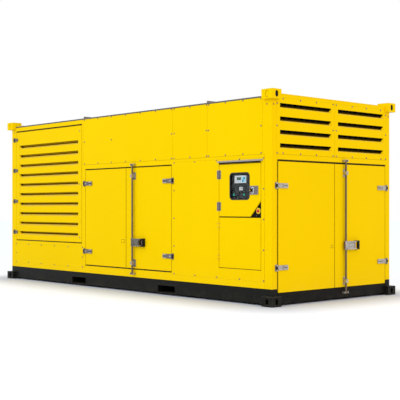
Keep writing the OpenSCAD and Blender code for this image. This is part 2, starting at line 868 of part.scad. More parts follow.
// Surface hinge of a hatch: the pin stands in front of the gap, dir is 1 for the hatch's half and
// -1 for the wall's half, thirds lists the barrel pieces of that half from -1 below to 1 above
module hatch_leaf(z, h, reach, dir, thirds) {
    third = h / 3;
    slack = 0.5;
    clear = 1.5;
    translate([hatch_pin_x, -yw - hatch_pin_out, z]) mirror([dir < 0 ? 1 : 0, 0, 0]) {
        translate([hatch_barrel_r + clear, hatch_pin_out - hatch_leaf_t, -h / 2])
            cube([reach - hatch_barrel_r, hatch_leaf_t, h]);
        for (s = thirds) translate([0, 0, s * third - third / 2 + slack]) difference() {
            union() {
                cylinder(r = hatch_barrel_r, h = third - 2 * slack);
                translate([0, hatch_pin_out - hatch_leaf_t, 0])
                    cube([hatch_barrel_r + 2 * clear, hatch_leaf_t - slack, third - 2 * slack]);
            }
            translate([0, 0, -through]) cylinder(r = hatch_pin_r + pin_fit, h = third + 2 * through);
        }
    }
}

// The wall's half with the pin and its two end caps
module hatch_hinge_base(z, h, reach) {
    cap = 2;
    hatch_leaf(z, h, reach, -1, [-1, 1]);
    translate([hatch_pin_x, -yw - hatch_pin_out, z - h / 2]) {
        cylinder(r = hatch_pin_r, h = h);
        for (s = [0, 1]) translate([0, 0, s * (h - cap)]) cylinder(r = hatch_barrel_r, h = cap);
    }
}

// Hatch halves of the control door's hinges and the plate that carries the latch knob
module control_fittings() {
    color(steel) {
        for (z = control_hinge_z) hatch_leaf(z, control_hinge_h, control_reach, 1, [0]);
        difference() {
            block([latch_x - latch_w / 2, -yw - latch_t, latch_z - latch_h / 2],
                [latch_x + latch_w / 2, -yw, latch_z + latch_h / 2]);
            translate([knob_x, -yw + through, latch_z]) rotate([90, 0, 0])
                cylinder(r = stem_r + stem_fit, h = latch_t + 2 * through);
        }
    }
}

// Key knob of the latch, turning in its plate
module control_knob() {
    lift = 0.5;
    head_t = 14;
    grip = [10, 34, 12];
    color("dimgray") translate([knob_x, -yw - lift, latch_z]) rotate([90, 0, 0]) {
        cylinder(r = stem_r, h = latch_t + lift);
        translate([0, 0, latch_t + lift]) cylinder(r = knob_r, h = head_t);
        translate([-grip[0] / 2, -grip[1] / 2, latch_t + lift + head_t - 2]) cube(grip);
    }
}

module access_door() {
    color(yellow) side_slab([x_control0 + door_gap, access_z + door_gap],
        [x_control1 - door_gap, control_z - door_gap], hatch_t);
}

// The hatch halves of the access door's hinges, short so that most of each one is on the wall
module access_hinges() {
    color(yellow) for (z = access_hinge_z) hatch_leaf(z, access_hinge_h, access_stub, 1, [0]);
}

module end_jambs() {
    color(yellow) for (m = [0, 1]) mirror([0, m, 0])
        end_slab([-y_post, base_h], [-y_jamb, waist_z]);
}

// Upper louvre panels of an end wall, notched round the castings
module end_louvre_pair() {
    difference() {
        for (m = [0, 1]) mirror([0, m, 0]) difference() {
            end_slab([seam / 2, waist_top], [y_post, wall_top]);
            end_slots(end_slot_side, y_post - end_slot_side, waist_top + end_slot_bottom,
                wall_top - end_slot_top - slot_h, end_slot_n);
        }
        for (m = [0, 1]) mirror([0, m, 0])
            block([xw - casting_l, width / 2 - casting_w, height - casting_h], [xw + 1, yw, height]);
    }
}

module end_louvres() { color(yellow) end_louvre_pair(); }

module end_leaf(s) {
    mirror([0, s < 0 ? 1 : 0, 0])
        end_slab([leaf_gap / 2, end_beam_top + door_gap], [y_jamb - door_gap, waist_z - door_gap]);
}

module end_door_left() { color(yellow) end_leaf(-1); }
module end_door_right() { color(yellow) end_leaf(1); }

module end_hinge_brackets() {
    color(steel) for (z = end_hinge_z, s = [-1, 1])
        at_end_pin(s * end_pin, z, -s) hinge_bracket(knuckle_h, bracket_side);
}

module end_left_straps() {
    color(steel) for (z = end_hinge_z)
        at_end_pin(-end_pin, z, 1) hinge_strap(knuckle_h, pin_side, strap_l);
}

module end_right_fittings() {
    color(steel) {
        for (z = end_hinge_z) at_end_pin(end_pin, z, -1) hinge_strap(knuckle_h, pin_side, strap_l);
        for (z = end_guide_z) at_end_rod(z) rod_guide();
    }
}

module end_catch() { color(black) at_end_rod(handle_z) handle_catch(handle_plate_end); }

module end_rod() { color(steel) at_end_rod(0) lock_rod(end_rod_z0, rod_z1); }
module end_handle() { color(steel) at_end_rod(handle_z) lock_handle(handle_plate_end); }

module end_keepers() {
    color(steel) for (z = [end_rod_z0, rod_z1 - cam_h]) at_end_rod(z) keeper();
}

// Plain far side: the same storeys and seams with fixed panels
module rear_wall_lower() {
    color(yellow) mirror([0, 1, 0]) {
        sill();
        side_slab([x_post, skirt_z - 1], [x_louvre0, skirt_top]);
        side_slab([x_louvre0, skirt_z - 1], [x_door0, louvre_z]);
        side_slab([x_louvre1, louvre_z - 1], [x_door0, waist_top]);
        side_slab([x_door0 - 1, wall_z - 1], [x_end, waist_top]);
    }
}

module rear_wall_upper() {
    color(yellow) mirror([0, 1, 0]) {
        for (i = [0:2]) upper_panel(i);
        side_slab([x_louvre0, louvre_z1], [x_upper0 - seam, wall_top]);
        side_slab([x_louvre1, waist_top], [x_upper0 - seam, louvre_z1 + 1]);
    }
}

module rear_louvre() {
    color(yellow) mirror([0, 1, 0]) difference() {
        side_slab([x_louvre0, louvre_z], [x_louvre1, louvre_z1]);
        side_slots(x_louvre0 + slot_left, x_louvre1 - slot_right, louvre_z + slot_bottom,
            louvre_z1 - slot_top - slot_h, slot_n);
    }
}

// Far end: plain lower wall and two louvre panels
module far_end_wall() {
    color(yellow) mirror([1, 0, 0]) {
        end_slab([-y_post, base_h], [y_post, waist_top]);
        end_slab([-y_jamb, end_beam_top], [y_jamb, base_h + through]);
        intersection() {
            end_louvre_pair();
            end_slab([-yw, waist_top + seam], [yw, wall_top]);
        }
    }
}

module end_headers() {
    y = width / 2 - casting_w;
    color(yellow) for (m = [0, 1]) mirror([m, 0, 0])
        block([xw - post_l, -y, wall_top], [xw, y, header_top]);
}

// Roof sheets with flanges standing up at their joints
module roof_sheet(x0, x1) {
    block([x0, -yw, wall_top], [x1, yw, roof_top]);
}

module roof_sheets() {
    color(roof_grey) {
        roof_sheet(-length / 2 + casting_l, x_upper0 - seam);
        roof_sheet(x_upper0, x_upper2 - seam);
        roof_sheet(x_upper2, length / 2 - casting_l);
        for (x = [x_upper0, x_upper2 - seam - flange_t])
            block([x, -yw, roof_top], [x + flange_t, yw, roof_top + flange_h]);
    }
}

castings_bottom();
castings_top();
base_rails();
base_beams();
fork_pockets();
floor();
corner_posts();
front_sill();
front_mullions();
waist_rails();
louvre_rails();
front_skirt_panel();
front_upper_left();
front_upper_mid();
front_upper_right();
front_wall();
front_wall_rails();
front_wall_strip();
rain_gutter();
control_panel();
panel_display();
panel_buttons();
stop_plate();
side_hinge_brackets();
side_keepers();
louvre_door();
louvre_straps();
side_door_left();
side_left_straps();
side_door_right();
side_right_fittings();
side_catch();
side_rod();
side_handle();
control_door();
control_glass();
control_fittings();
control_knob();
access_door();
access_hinges();
stop_button();
end_jambs();
end_louvres();
end_hinge_brackets();
end_keepers();
end_door_left();
end_left_straps();
end_door_right();
end_right_fittings();
end_catch();
end_rod();
end_handle();
rear_wall_lower();
rear_wall_upper();
rear_louvre();
far_end_wall();
end_headers();
roof_sheets();
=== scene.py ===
# %% [markdown]
# # Diesel generator set in a container enclosure
# The real object is a shipping-container-sized steel box with a diesel engine and a generator
# shut inside it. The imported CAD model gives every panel, door, hinge and lock its place. This
# lesson dresses it: procedural finishes for the CAD parts, and mesh detail for what the CAD
# leaves out, such as bolts, seals, hinge screws and linings. Places could be typed in, but
# nearly all are worked out from the boxes of the CAD parts, so a piece still lands where it
# belongs after a change to the CAD. The scene is in metres.

import json
import math
import random

import bmesh
import bpy
from mathutils import Matrix, Vector


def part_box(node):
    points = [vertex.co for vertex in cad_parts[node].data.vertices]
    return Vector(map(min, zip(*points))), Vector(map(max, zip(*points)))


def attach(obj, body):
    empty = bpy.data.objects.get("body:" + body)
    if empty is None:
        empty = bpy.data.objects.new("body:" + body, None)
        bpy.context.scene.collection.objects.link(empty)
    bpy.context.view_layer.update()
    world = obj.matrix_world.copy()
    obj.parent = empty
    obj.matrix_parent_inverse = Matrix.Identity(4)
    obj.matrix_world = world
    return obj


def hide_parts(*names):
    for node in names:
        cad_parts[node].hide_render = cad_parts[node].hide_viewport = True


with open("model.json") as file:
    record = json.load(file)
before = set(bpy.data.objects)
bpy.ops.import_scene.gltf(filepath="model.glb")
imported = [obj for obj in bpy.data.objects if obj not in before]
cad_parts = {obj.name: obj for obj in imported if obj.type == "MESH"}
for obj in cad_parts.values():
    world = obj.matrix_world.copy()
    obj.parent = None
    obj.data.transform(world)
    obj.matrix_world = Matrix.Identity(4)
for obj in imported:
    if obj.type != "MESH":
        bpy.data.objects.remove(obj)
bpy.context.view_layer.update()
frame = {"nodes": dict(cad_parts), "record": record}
nodes = frame["nodes"]

# %% [markdown]
# Every finish, the sky and the floor are made of shader nodes. Adding and linking each node by
# hand would take several lines, so small helpers do it: one adds a node with its inputs filled,
# and the others give one step of arithmetic, a ramp and a mix of two colours.

# %% Node helpers
MM = 0.001
WHITE = (1, 1, 1, 1)


def feed(tree, socket, value):
    """Links a socket to another node's output, or sets its plain value."""
    if isinstance(value, bpy.types.NodeSocket):
        tree.links.new(value, socket)
    else:
        socket.default_value = value


def add(tree, kind, inputs=None, **settings):
    """Adds a node, sets its properties, and fills its inputs with values or links."""
    node = tree.nodes.new(kind)
    for key, value in settings.items():
        setattr(node, key, value)
    for key, value in (inputs or {}).items():
        feed(tree, node.inputs[key], value)
    return node


def maths(tree, operation, a, b=0.0, clamp=False):
    """One arithmetic step; a and b are numbers or sockets."""
    node = add(tree, "ShaderNodeMath", {0: a, 1: b}, operation=operation, use_clamp=clamp)
    return node.outputs[0]


def ramp(tree, value, low, high):
    """Maps low..high to 0..1 and stops there."""
    node = add(tree, "ShaderNodeMapRange", {"Value": value, "From Min": low, "From Max": high})
    return node.outputs["Result"]


def blend_colour(tree, factor, a, b):
    """Mixes two colours; 6 and 7 are the mix node's colour sockets."""
    return add(tree, "ShaderNodeMix", {0: factor, 6: a, 7: b}, data_type="RGBA").outputs[2]


print("drawn lengths are in steps of", MM, "m")

# %% [markdown]
# The camera stands level at chest height, well away from the corner between the service side
# and the door end, with a long lens. Tilting it to frame the object would make the posts lean,
# so a small vertical shift of the lens does it.

# %% Camera
scene = bpy.context.scene
CAMERA_AZIMUTH = math.radians(47.753)
camera_data = bpy.data.cameras.new("camera")
camera_data.lens = 81.35
camera_data.sensor_width = 36
camera_data.shift_y = 0.0189
camera_data.clip_end = 200
camera = bpy.data.objects.new("camera", camera_data)
camera.location = (10.336, -9.004, 1.180)
camera.rotation_euler = (math.pi / 2, 0, CAMERA_AZIMUTH)
scene.collection.objects.link(camera)
scene.camera = camera
print("camera to centre", round(camera.location.length, 2), "m")

# %% [markdown]
# The light is a bright, even studio. A world at a plain level fills every side, a wide soft
# lamp in front of the service side makes that wall a little brighter than the door end, and
# the floor is matt white. The camera and mirror-like rays see white, so the floor and the
# background run into each other, and the floor still takes the object's soft shadow.

# %% Studio
scene.view_settings.view_transform = "Standard"
WORLD_LEVEL, BACKDROP_LEVEL = 0.90, 1.0


def seen_directly(tree):
    """1 for camera, mirror-like and transmitted rays, 0 for those that light the object."""
    rays = add(tree, "ShaderNodeLightPath").outputs
    direct = maths(tree, "MAXIMUM", rays["Is Camera Ray"], rays["Is Glossy Ray"])
    return maths(tree, "MAXIMUM", direct, rays["Is Transmission Ray"])


world = bpy.data.worlds.new("studio")
scene.world = world
world.use_nodes = True
sky = world.node_tree
sky.nodes.clear()
fill = add(sky, "ShaderNodeBackground", {"Color": WHITE, "Strength": WORLD_LEVEL})
backdrop = add(sky, "ShaderNodeBackground", {"Color": WHITE, "Strength": BACKDROP_LEVEL})
pick = add(sky, "ShaderNodeMixShader",
           {"Fac": seen_directly(sky), 1: fill.outputs[0], 2: backdrop.outputs[0]})
add(sky, "ShaderNodeOutputWorld", {"Surface": pick.outputs[0]})
print("world level", WORLD_LEVEL)

# %% [markdown]
# Sunlight would draw hard shadows and hide the sheet work in them. Large square lamps far from
# the walls act like the soft boxes of a studio, and the one for the door end is a little warmer.

# %% Lamps
def soft_lamp(name, place, target, size, power, tint=(1, 1, 1)):
    """A square area lamp aimed at a point; size is in metres and power in watts."""
    data = bpy.data.lights.new(name, "AREA")
    data.size = size
    data.energy = power
    data.color = tint
    lamp = bpy.data.objects.new(name, data)
    lamp.location = place
    lamp.rotation_euler = (Vector(target) - Vector(place)).to_track_quat("-Z", "Y").to_euler()
    scene.collection.objects.link(lamp)
    print(name, power, "W")


WARM = (1.0, 0.66, 0.5)
soft_lamp("key_lamp", place=(0.5, -13, 7), target=(0.5, 0, 1.2), size=8, power=385)
soft_lamp("end_lamp", place=(13, -1, 5.5), target=(3, -0.5, 1.2), size=7, power=245, tint=WARM)

# %% [markdown]
# A shader group is made once and placed in many materials with its own values. Each effect
# could be copied into every material, but a group keeps them alike and gives the effect a name
# and named sockets. The helper below opens a group, and a second one prints its sockets.

# %% Group helpers
VALUE, COLOUR = "NodeSocketFloat", "NodeSocketColor"


def open_group(name, inputs, outputs):
    """Starts a shader group: inputs are (name, kind, default), outputs are (name, kind)."""
    tree = bpy.data.node_groups.new(name, "ShaderNodeTree")
    for title, kind, default in inputs:
        socket = tree.interface.new_socket(name=title, in_out="INPUT", socket_type=kind)
        socket.default_value = default
    for title, kind in outputs:
        tree.interface.new_socket(name=title, in_out="OUTPUT", socket_type=kind)
    given, out = tree.nodes.new("NodeGroupInput"), tree.nodes.new("NodeGroupOutput")
    return tree, given.outputs, out.inputs


def spot(tree):
    """Where on the object the shaded point lies, in metres."""
    return add(tree, "ShaderNodeTexCoord").outputs["Object"]


def noise(tree, scale, detail):
    """Cloudy noise from 0 to 1 over the object, with scale clouds in a metre."""
    inputs = {"Vector": spot(tree), "Scale": scale, "Detail": detail}
    return add(tree, "ShaderNodeTexNoise", inputs).outputs[0]


def show_group(group):
    """Prints a group's name and its sockets."""
    print("group", group.name, [item.name for item in group.interface.items_tree])


print("sockets:", VALUE, COLOUR)

# %% [markdown]
# Paint sprayed on a real panel is never one colour. A painted image could show that, but it
# would have to be fitted to every panel. This group shifts any colour a little with noise in
# two scales: broad clouds a metre wide, as film thickness varies, and fine mottling.

# %% Group: colour drift
tree, given, out = open_group(
    "colour drift",
    [("Colour", COLOUR, WHITE), ("Strength", VALUE, 0.1), ("Scale", VALUE, 1.0)],
    [("Colour", COLOUR)])
broad = noise(tree, given["Scale"], 3.0)
fine = noise(tree, maths(tree, "MULTIPLY", given["Scale"], 40.0), 2.0)
both = maths(tree, "ADD", broad, maths(tree, "MULTIPLY", fine, 0.4))
centred = maths(tree, "SUBTRACT", both, 0.7)
change = maths(tree, "MULTIPLY", centred, given["Strength"])
value = maths(tree, "ADD", change, 1.0)
shifted = add(tree, "ShaderNodeHueSaturation", {"Value": value, "Color": given["Colour"]})
tree.links.new(shifted.outputs[0], out["Colour"])
DRIFT = tree
show_group(DRIFT)

# %% [markdown]
# Sprayed paint dries with a faint skin like orange peel. Its waves are a few millimetres wide
# and far too low to model, but they break up reflections. This group gives only the height of
# the skin, so each material feeds it to its own bump with its own strength.

# %% Group: orange peel
tree, given, out = open_group(
    "orange peel", [("Wave per metre", VALUE, 220.0)], [("Height", VALUE)])
tree.links.new(noise(tree, given["Wave per metre"], 1.0), out["Height"])
ORANGE_PEEL = tree
show_group(ORANGE_PEEL)

# %% [markdown]
# Paint goes first where a sheet is bent or cut. The bevel node rounds the normal near an edge,
# so the difference between that normal and the true one marks the edge, and noise breaks the
# mark into chips. Painting the wear by hand would give more control, but this follows any shape.

# %% Group: edge wear
tree, given, out = open_group(
    "edge wear", [("Amount", VALUE, 0.5), ("Chips per metre", VALUE, 60.0)],
    [("Mask", VALUE)])
rounded = add(tree, "ShaderNodeBevel", {"Radius": 3 * MM}, samples=4).outputs[0]
true = add(tree, "ShaderNodeNewGeometry")
same = add(tree, "ShaderNodeVectorMath", {0: rounded, 1: true.outputs["Normal"]},
           operation="DOT_PRODUCT").outputs["Value"]
edge = ramp(tree, same, 0.995, 0.85)
chips = noise(tree, given["Chips per metre"], 4.0)
limit = maths(tree, "SUBTRACT", 1.0, given["Amount"])
threshold = maths(tree, "MULTIPLY", limit, 0.7)
broken = ramp(tree, maths(tree, "SUBTRACT", chips, threshold), 0.0, 0.08)
tree.links.new(maths(tree, "MULTIPLY", edge, broken), out["Mask"])
EDGE_WEAR = tree
show_group(EDGE_WEAR)

# %% [markdown]
# Dust settles on whatever faces up, and spray and mud reach the lowest half metre. Both could
# be painted on, but then a turned or moved piece would carry them along. The group makes one
# mask from the surface normal and the height above the ground.

# %% Group: dust
tree, given, out = open_group(
    "dust",
    [("On top", VALUE, 0.5), ("Near ground", VALUE, 0.3), ("Splash height", VALUE, 0.5)],
    [("Mask", VALUE)])
height = add(tree, "ShaderNodeSeparateXYZ", {0: spot(tree)}).outputs["Z"]
up = add(tree, "ShaderNodeSeparateXYZ",
         {0: add(tree, "ShaderNodeNewGeometry").outputs["Normal"]}).outputs["Z"]
patches = noise(tree, 7.0, 6.0)
top = maths(tree, "MULTIPLY", ramp(tree, up, 0.5, 1.0), given["On top"])
share = maths(tree, "DIVIDE", height, given["Splash height"])
low = maths(tree, "SUBTRACT", 1.0, share, clamp=True)
splash = maths(tree, "MULTIPLY", maths(tree, "MULTIPLY", low, low), given["Near ground"])
total = maths(tree, "ADD", top, splash)
broken = maths(tree, "MULTIPLY", total, ramp(tree, patches, 0.25, 0.7), clamp=True)
tree.links.new(broken, out["Mask"])
DUST = tree
show_group(DUST)

# %% [markdown]
# Every panel is a pan of painted sheet around black acoustic foam. The group measures how far a
# point lies behind the outer faces of the enclosure: past a given depth it answers 1, and the
# paints lay a painted shade there, so door edges darken and louvre slots go dark inside, where
# little light reaches. The faces of each panel could be given materials one by one, but a change
# of depth is all that matters.

# %% Group: painted depth shade
HALF_X, HALF_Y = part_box("corner_posts")[1].xy
tree, given, out = open_group(
    "painted depth shade", [("Sheet depth", VALUE, 0.012), ("Softness", VALUE, 0.004)],
    [("Mask", VALUE)])
axes = add(tree, "ShaderNodeSeparateXYZ", {0: spot(tree)}).outputs
behind_end = maths(tree, "SUBTRACT", HALF_X, maths(tree, "ABSOLUTE", axes["X"]))
behind_side = maths(tree, "SUBTRACT", HALF_Y, maths(tree, "ABSOLUTE", axes["Y"]))
depth = maths(tree, "MINIMUM", behind_end, behind_side)
past = maths(tree, "SUBTRACT", depth, given["Sheet depth"])
mask = maths(tree, "DIVIDE", past, given["Softness"], clamp=True)
tree.links.new(mask, out["Mask"])
DEPTH_SHADE = tree
show_group(DEPTH_SHADE)
print("outer faces at", round(HALF_X, 3), round(HALF_Y, 3))

# %% [markdown]
# Zinc plating and hot-dip galvanising crystallise in flakes a few millimetres across. Noise
# alone would look like cloud, so a Voronoi pattern, which is made of cells, gives each flake
# its own brightness and roughness, and a little noise stains the whole.

# %% Group: zinc flakes
tree, given, out = open_group(
    "zinc flakes",
    [("Bright", COLOUR, (0.6, 0.6, 0.6, 1)), ("Dull", COLOUR, (0.3, 0.3, 0.3, 1)),
     ("Flakes per metre", VALUE, 120.0), ("Smooth", VALUE, 0.3), ("Rough", VALUE, 0.5)],
    [("Colour", COLOUR), ("Roughness", VALUE)])
flakes = add(tree, "ShaderNodeTexVoronoi",
             {"Vector": spot(tree), "Scale": given["Flakes per metre"]})
shade = add(tree, "ShaderNodeSeparateColor", {0: flakes.outputs["Color"]}).outputs[0]
cloud = noise(tree, 9.0, 5.0)
mix = maths(tree, "ADD", maths(tree, "MULTIPLY", shade, 0.45),
            maths(tree, "MULTIPLY", cloud, 0.55), clamp=True)
tint = blend_colour(tree, mix, given["Dull"], given["Bright"])
tree.links.new(tint, out["Colour"])
spread = maths(tree, "SUBTRACT", given["Rough"], given["Smooth"])
rough = maths(tree, "ADD", given["Smooth"], maths(tree, "MULTIPLY", spread, mix))
tree.links.new(rough, out["Roughness"])
ZINC = tree
show_group(ZINC)

# %% [markdown]
# Each finish is a material of its own with its shader inside it. The helpers write a colour the
# way a paint chart does, in 0 to 255 steps, open a material, place a group with its values and
# feed the finished colour and roughness to the shader.

# %% Material helpers
def colour(red, green, blue):
    """A display colour in 0 to 255 steps as a linear shader colour."""
    def linear(step):
        share = step / 255
        return share / 12.92 if share <= 0.04045 else ((share + 0.055) / 1.055) ** 2.4
    return (linear(red), linear(green), linear(blue), 1.0)


def start_material(name, metallic=0.0, specular=0.5):
    """A new material with a Principled shader whose uniform sockets are set directly."""
    made = bpy.data.materials.new(name)
    made.use_nodes = True
    tree = made.node_tree
    tree.nodes.clear()
    shader = add(tree, "ShaderNodeBsdfPrincipled",
                 {"Metallic": metallic, "Specular IOR Level": specular})
    add(tree, "ShaderNodeOutputMaterial", {"Surface": shader.outputs[0]})
    return made, tree, shader


def place(tree, group, **values):
    """Places a shader group; keyword names use _ for the spaces in its socket names."""
    node = add(tree, "ShaderNodeGroup", node_tree=group)
    for key, value in values.items():
        feed(tree, node.inputs[key.replace("_", " ")], value)
    return node


def cover(tree, shader, skin, roughness):
    """Feeds the finished colour and roughness to the shader."""
    tree.links.new(skin, shader.inputs["Base Color"])
    tree.links.new(roughness, shader.inputs["Roughness"])


def bump(tree, shader, height, strength, distance):
    """Lets a height pattern tilt the shader's normal."""
    node = add(tree, "ShaderNodeBump",
               {"Height": height, "Strength": strength, "Distance": distance})
    tree.links.new(node.outputs[0], shader.inputs["Normal"])


DUST_GREY, BARE_METAL = colour(196, 186, 160), colour(214, 208, 200)
# FOAM_AND_SHADE is the black foam seen through the liner's holes, and the painted shade that the
# body paints lay behind their face.
PRIMER, FOAM_AND_SHADE = colour(120, 100, 40), colour(24, 24, 20)
print("dust", [round(step, 2) for step in DUST_GREY])

# %% [markdown]
# The body paint is a strong machine yellow, satin. Its shine is tinted with the paint's own
# colour, so that white surroundings do not wash it out. It carries drift, orange peel, a little
# edge wear, dust on the roof side of every part, and turns to painted shade behind its outer face.
# A sheet could be split up to take more colours, but a step in depth does it on the whole part:
# the leaves have a painted shade on their edges behind their face, and the louvres have the
# painted lip, then the blade in painted shade, then a darker painted shade inside the slots.

# %% Body paint
YELLOW, WARM_SHINE = colour(255, 215, 0), colour(255, 190, 0)
# Painted shade of the louvre blades and of the slots' insides, on the service side and the ends.
SIDE_BLADE_SHADE, SIDE_DEEP_SHADE = colour(96, 76, 8), colour(66, 54, 8)
END_BLADE_SHADE, END_DEEP_SHADE = colour(84, 66, 8), colour(52, 41, 6)
SEAM_SHADE = colour(72, 56, 8)


def make_body_paint(name, steps):
    """Yellow; each step is a depth and a softness in mm and the painted shade colour past them."""
    made, tree, shader = start_material(name, specular=0.02)
    shader.inputs["Specular Tint"].default_value = WARM_SHINE
    drift = place(tree, DRIFT, Colour=YELLOW, Strength=0.07, Scale=0.8)
    dust = place(tree, DUST, On_top=0.5, Near_ground=0.04, Splash_height=0.55)
    wear = place(tree, EDGE_WEAR, Amount=0.35, Chips_per_metre=45.0)
    peel = place(tree, ORANGE_PEEL, Wave_per_metre=260.0)
    dusty = blend_colour(tree, dust.outputs["Mask"], drift.outputs["Colour"], DUST_GREY)
    skin = blend_colour(tree, wear.outputs["Mask"], dusty, PRIMER)
    rough = maths(tree, "ADD", 0.36, maths(tree, "MULTIPLY", dust.outputs["Mask"], 0.35))
    for depth, softness, under in steps:
        behind = place(tree, DEPTH_SHADE, Sheet_depth=depth * MM, Softness=softness * MM).outputs["Mask"]
        skin = blend_colour(tree, behind, skin, under)
        rough = maths(tree, "ADD", rough, maths(tree, "MULTIPLY", behind, 0.5), clamp=True)
    cover(tree, shader, skin, rough)
    bump(tree, shader, peel.outputs["Height"], 0.12, 0.4 * MM)
    return made


# Past each depth the paint turns to a painted shade: dark door edges and dark slot insides.
body_paint = make_body_paint("body paint", [(14, 6, FOAM_AND_SHADE)])
leaf_paint = make_body_paint("leaf paint", [(2, 3, SEAM_SHADE), (14, 6, FOAM_AND_SHADE)])
frame_paint = make_body_paint("frame paint", [])
side_louvre_paint = make_body_paint("side louvre paint", [(34, 3, SIDE_BLADE_SHADE), (46, 10, SIDE_DEEP_SHADE)])
end_louvre_paint = make_body_paint("end louvre paint", [(14, 5, END_BLADE_SHADE), (30, 26, END_DEEP_SHADE)])
print("five yellow finishes")

# %% [markdown]
# The base is sprayed near-black over heavy steel. It picks up the most mud, so its dust mask is
# stronger near the ground. The same function paints the end beams in a darker copy, which is a
# painted shade, the catches and, in a pale grey, the drip profile over the control door, since
# all are sprayed in the same way.

# %% Base paint
MUD, WORN_BLACK = colour(112, 104, 90), colour(92, 84, 76)


def make_base_paint(name, tint):
    made, tree, shader = start_material(name, specular=0.1)
    drift = place(tree, DRIFT, Colour=tint, Strength=0.35, Scale=2.0)
    dust = place(tree, DUST, On_top=0.4, Near_ground=0.12, Splash_height=0.3)
    wear = place(tree, EDGE_WEAR, Amount=0.5, Chips_per_metre=30.0)
    peel = place(tree, ORANGE_PEEL, Wave_per_metre=150.0)
    dusty = blend_colour(tree, dust.outputs["Mask"], drift.outputs["Colour"], MUD)
    skin = blend_colour(tree, wear.outputs["Mask"], dusty, WORN_BLACK)
    rough = maths(tree, "ADD", 0.42, maths(tree, "MULTIPLY", dust.outputs["Mask"], 0.5))
    cover(tree, shader, skin, rough)
    bump(tree, shader, peel.outputs["Height"], 0.3, 0.8 * MM)
    return made


base_paint = make_base_paint("base paint", colour(16, 19, 17))
# The end beams are a darker copy of the base paint: painted shade.
beam_shade_paint = make_base_paint("end beam paint in painted shade", colour(7, 7, 6))
catch_paint = make_base_paint("catch paint", colour(24, 24, 28))
gutter_paint = make_base_paint("gutter paint", colour(168, 166, 172))
print("four sprayed steel finishes")

# %% [markdown]
# Hinges, rods and catches are zinc-plated steel, brownish grey where it has dulled. The fittings
# of the service side are a greyer, darker copy of those of the door end, which is painted shade,
# and its handle is darker still, also painted shade; the bolts have rusted a little. The roof
# sheets are galvanised with larger flakes. One finish could serve them all, but its two zinc
# colours and its shine are what tells the fittings apart.

# %% Plated steel
def make_plated(name, bright, dull, flakes, metallic, smooth=0.32, rough=0.55, dusty=0.2):
    """Zinc from a bright to a dull colour (0 to 255), with its flakes per metre."""
    made, tree, shader = start_material(name, metallic=metallic)
    zinc = place(tree, ZINC, Bright=colour(*bright), Dull=colour(*dull), Flakes_per_metre=flakes,
                 Smooth=smooth, Rough=rough)
    dust = place(tree, DUST, On_top=dusty, Near_ground=0.1, Splash_height=0.4)
    wear = place(tree, EDGE_WEAR, Amount=0.6, Chips_per_metre=80.0)
    skin = blend_colour(tree, dust.outputs["Mask"], zinc.outputs["Colour"], DUST_GREY)
    rubbed = blend_colour(tree, wear.outputs["Mask"], skin, BARE_METAL)
    cover(tree, shader, rubbed, zinc.outputs["Roughness"])
    grain = place(tree, ORANGE_PEEL, Wave_per_metre=500.0)
    bump(tree, shader, grain.outputs["Height"], 0.25, 0.3 * MM)
    return made


hinge_steel = make_plated("hinge steel", (216, 210, 200), (124, 116, 106), 150.0, 0.75, 0.28, 0.5)
bolt_steel = make_plated("bolt steel", (112, 70, 44), (74, 46, 24), 300.0, 0.15, smooth=0.35)
rod_steel = make_plated("rod steel", (128, 112, 92), (84, 72, 58), 150.0, 0.5)
dark_steel = make_plated("dark steel", (96, 88, 82), (54, 48, 42), 220.0, 0.6, smooth=0.35)
# The service side's fittings and handle: darker copies of the plated steel, as painted shade.
shaded_service_steel = make_plated("service side steel in painted shade", (138, 130, 132), (92, 84, 88), 150.0, 0.65)
shaded_handle_steel = make_plated("service handle steel in painted shade", (118, 114, 104), (74, 72, 62), 150.0, 0.5)
roof_sheet = make_plated("roof sheet", (150, 147, 146), (108, 105, 105), 60.0, 0.3, smooth=0.35,
                         dusty=0.45)
floor_steel = make_plated("floor steel", (110, 108, 104), (62, 60, 58), 40.0, 0.4, 0.4, 0.65, 0.5)
print("eight plated finishes")

# %% [markdown]
# Moulded plastic and rubber have a fine grain and a roughness that changes a little from place
# to place, from handling. A plain colour with one roughness would look like a toy, so the grain
# pattern feeds both the bump and the roughness. The foam and the painted baffles of the louvre
# door use it too, with a coarser grain.

# %% Plastic and rubber
def make_moulded(name, tint, rough=0.4, grain=200.0, strength=0.08, specular=0.5, drift=0.12):
    """A moulded finish; tint is 0 to 255, grain is in waves per metre."""
    made, tree, shader = start_material(name, specular=specular)
    shade = place(tree, DRIFT, Colour=colour(*tint), Strength=drift, Scale=6.0)
    dust = place(tree, DUST, On_top=0.3, Near_ground=0.05, Splash_height=0.4)
    texture = place(tree, ORANGE_PEEL, Wave_per_metre=grain)
    skin = blend_colour(tree, dust.outputs["Mask"], shade.outputs["Colour"], DUST_GREY)
    handled = maths(tree, "MULTIPLY", texture.outputs["Height"], 0.12)
    cover(tree, shader, skin, maths(tree, "ADD", rough - 0.06, handled))
    bump(tree, shader, texture.outputs["Height"], strength, 0.3 * MM)
    return made


rubber = make_moulded("rubber seal", (22, 22, 21), 0.62, 320.0, 0.3)
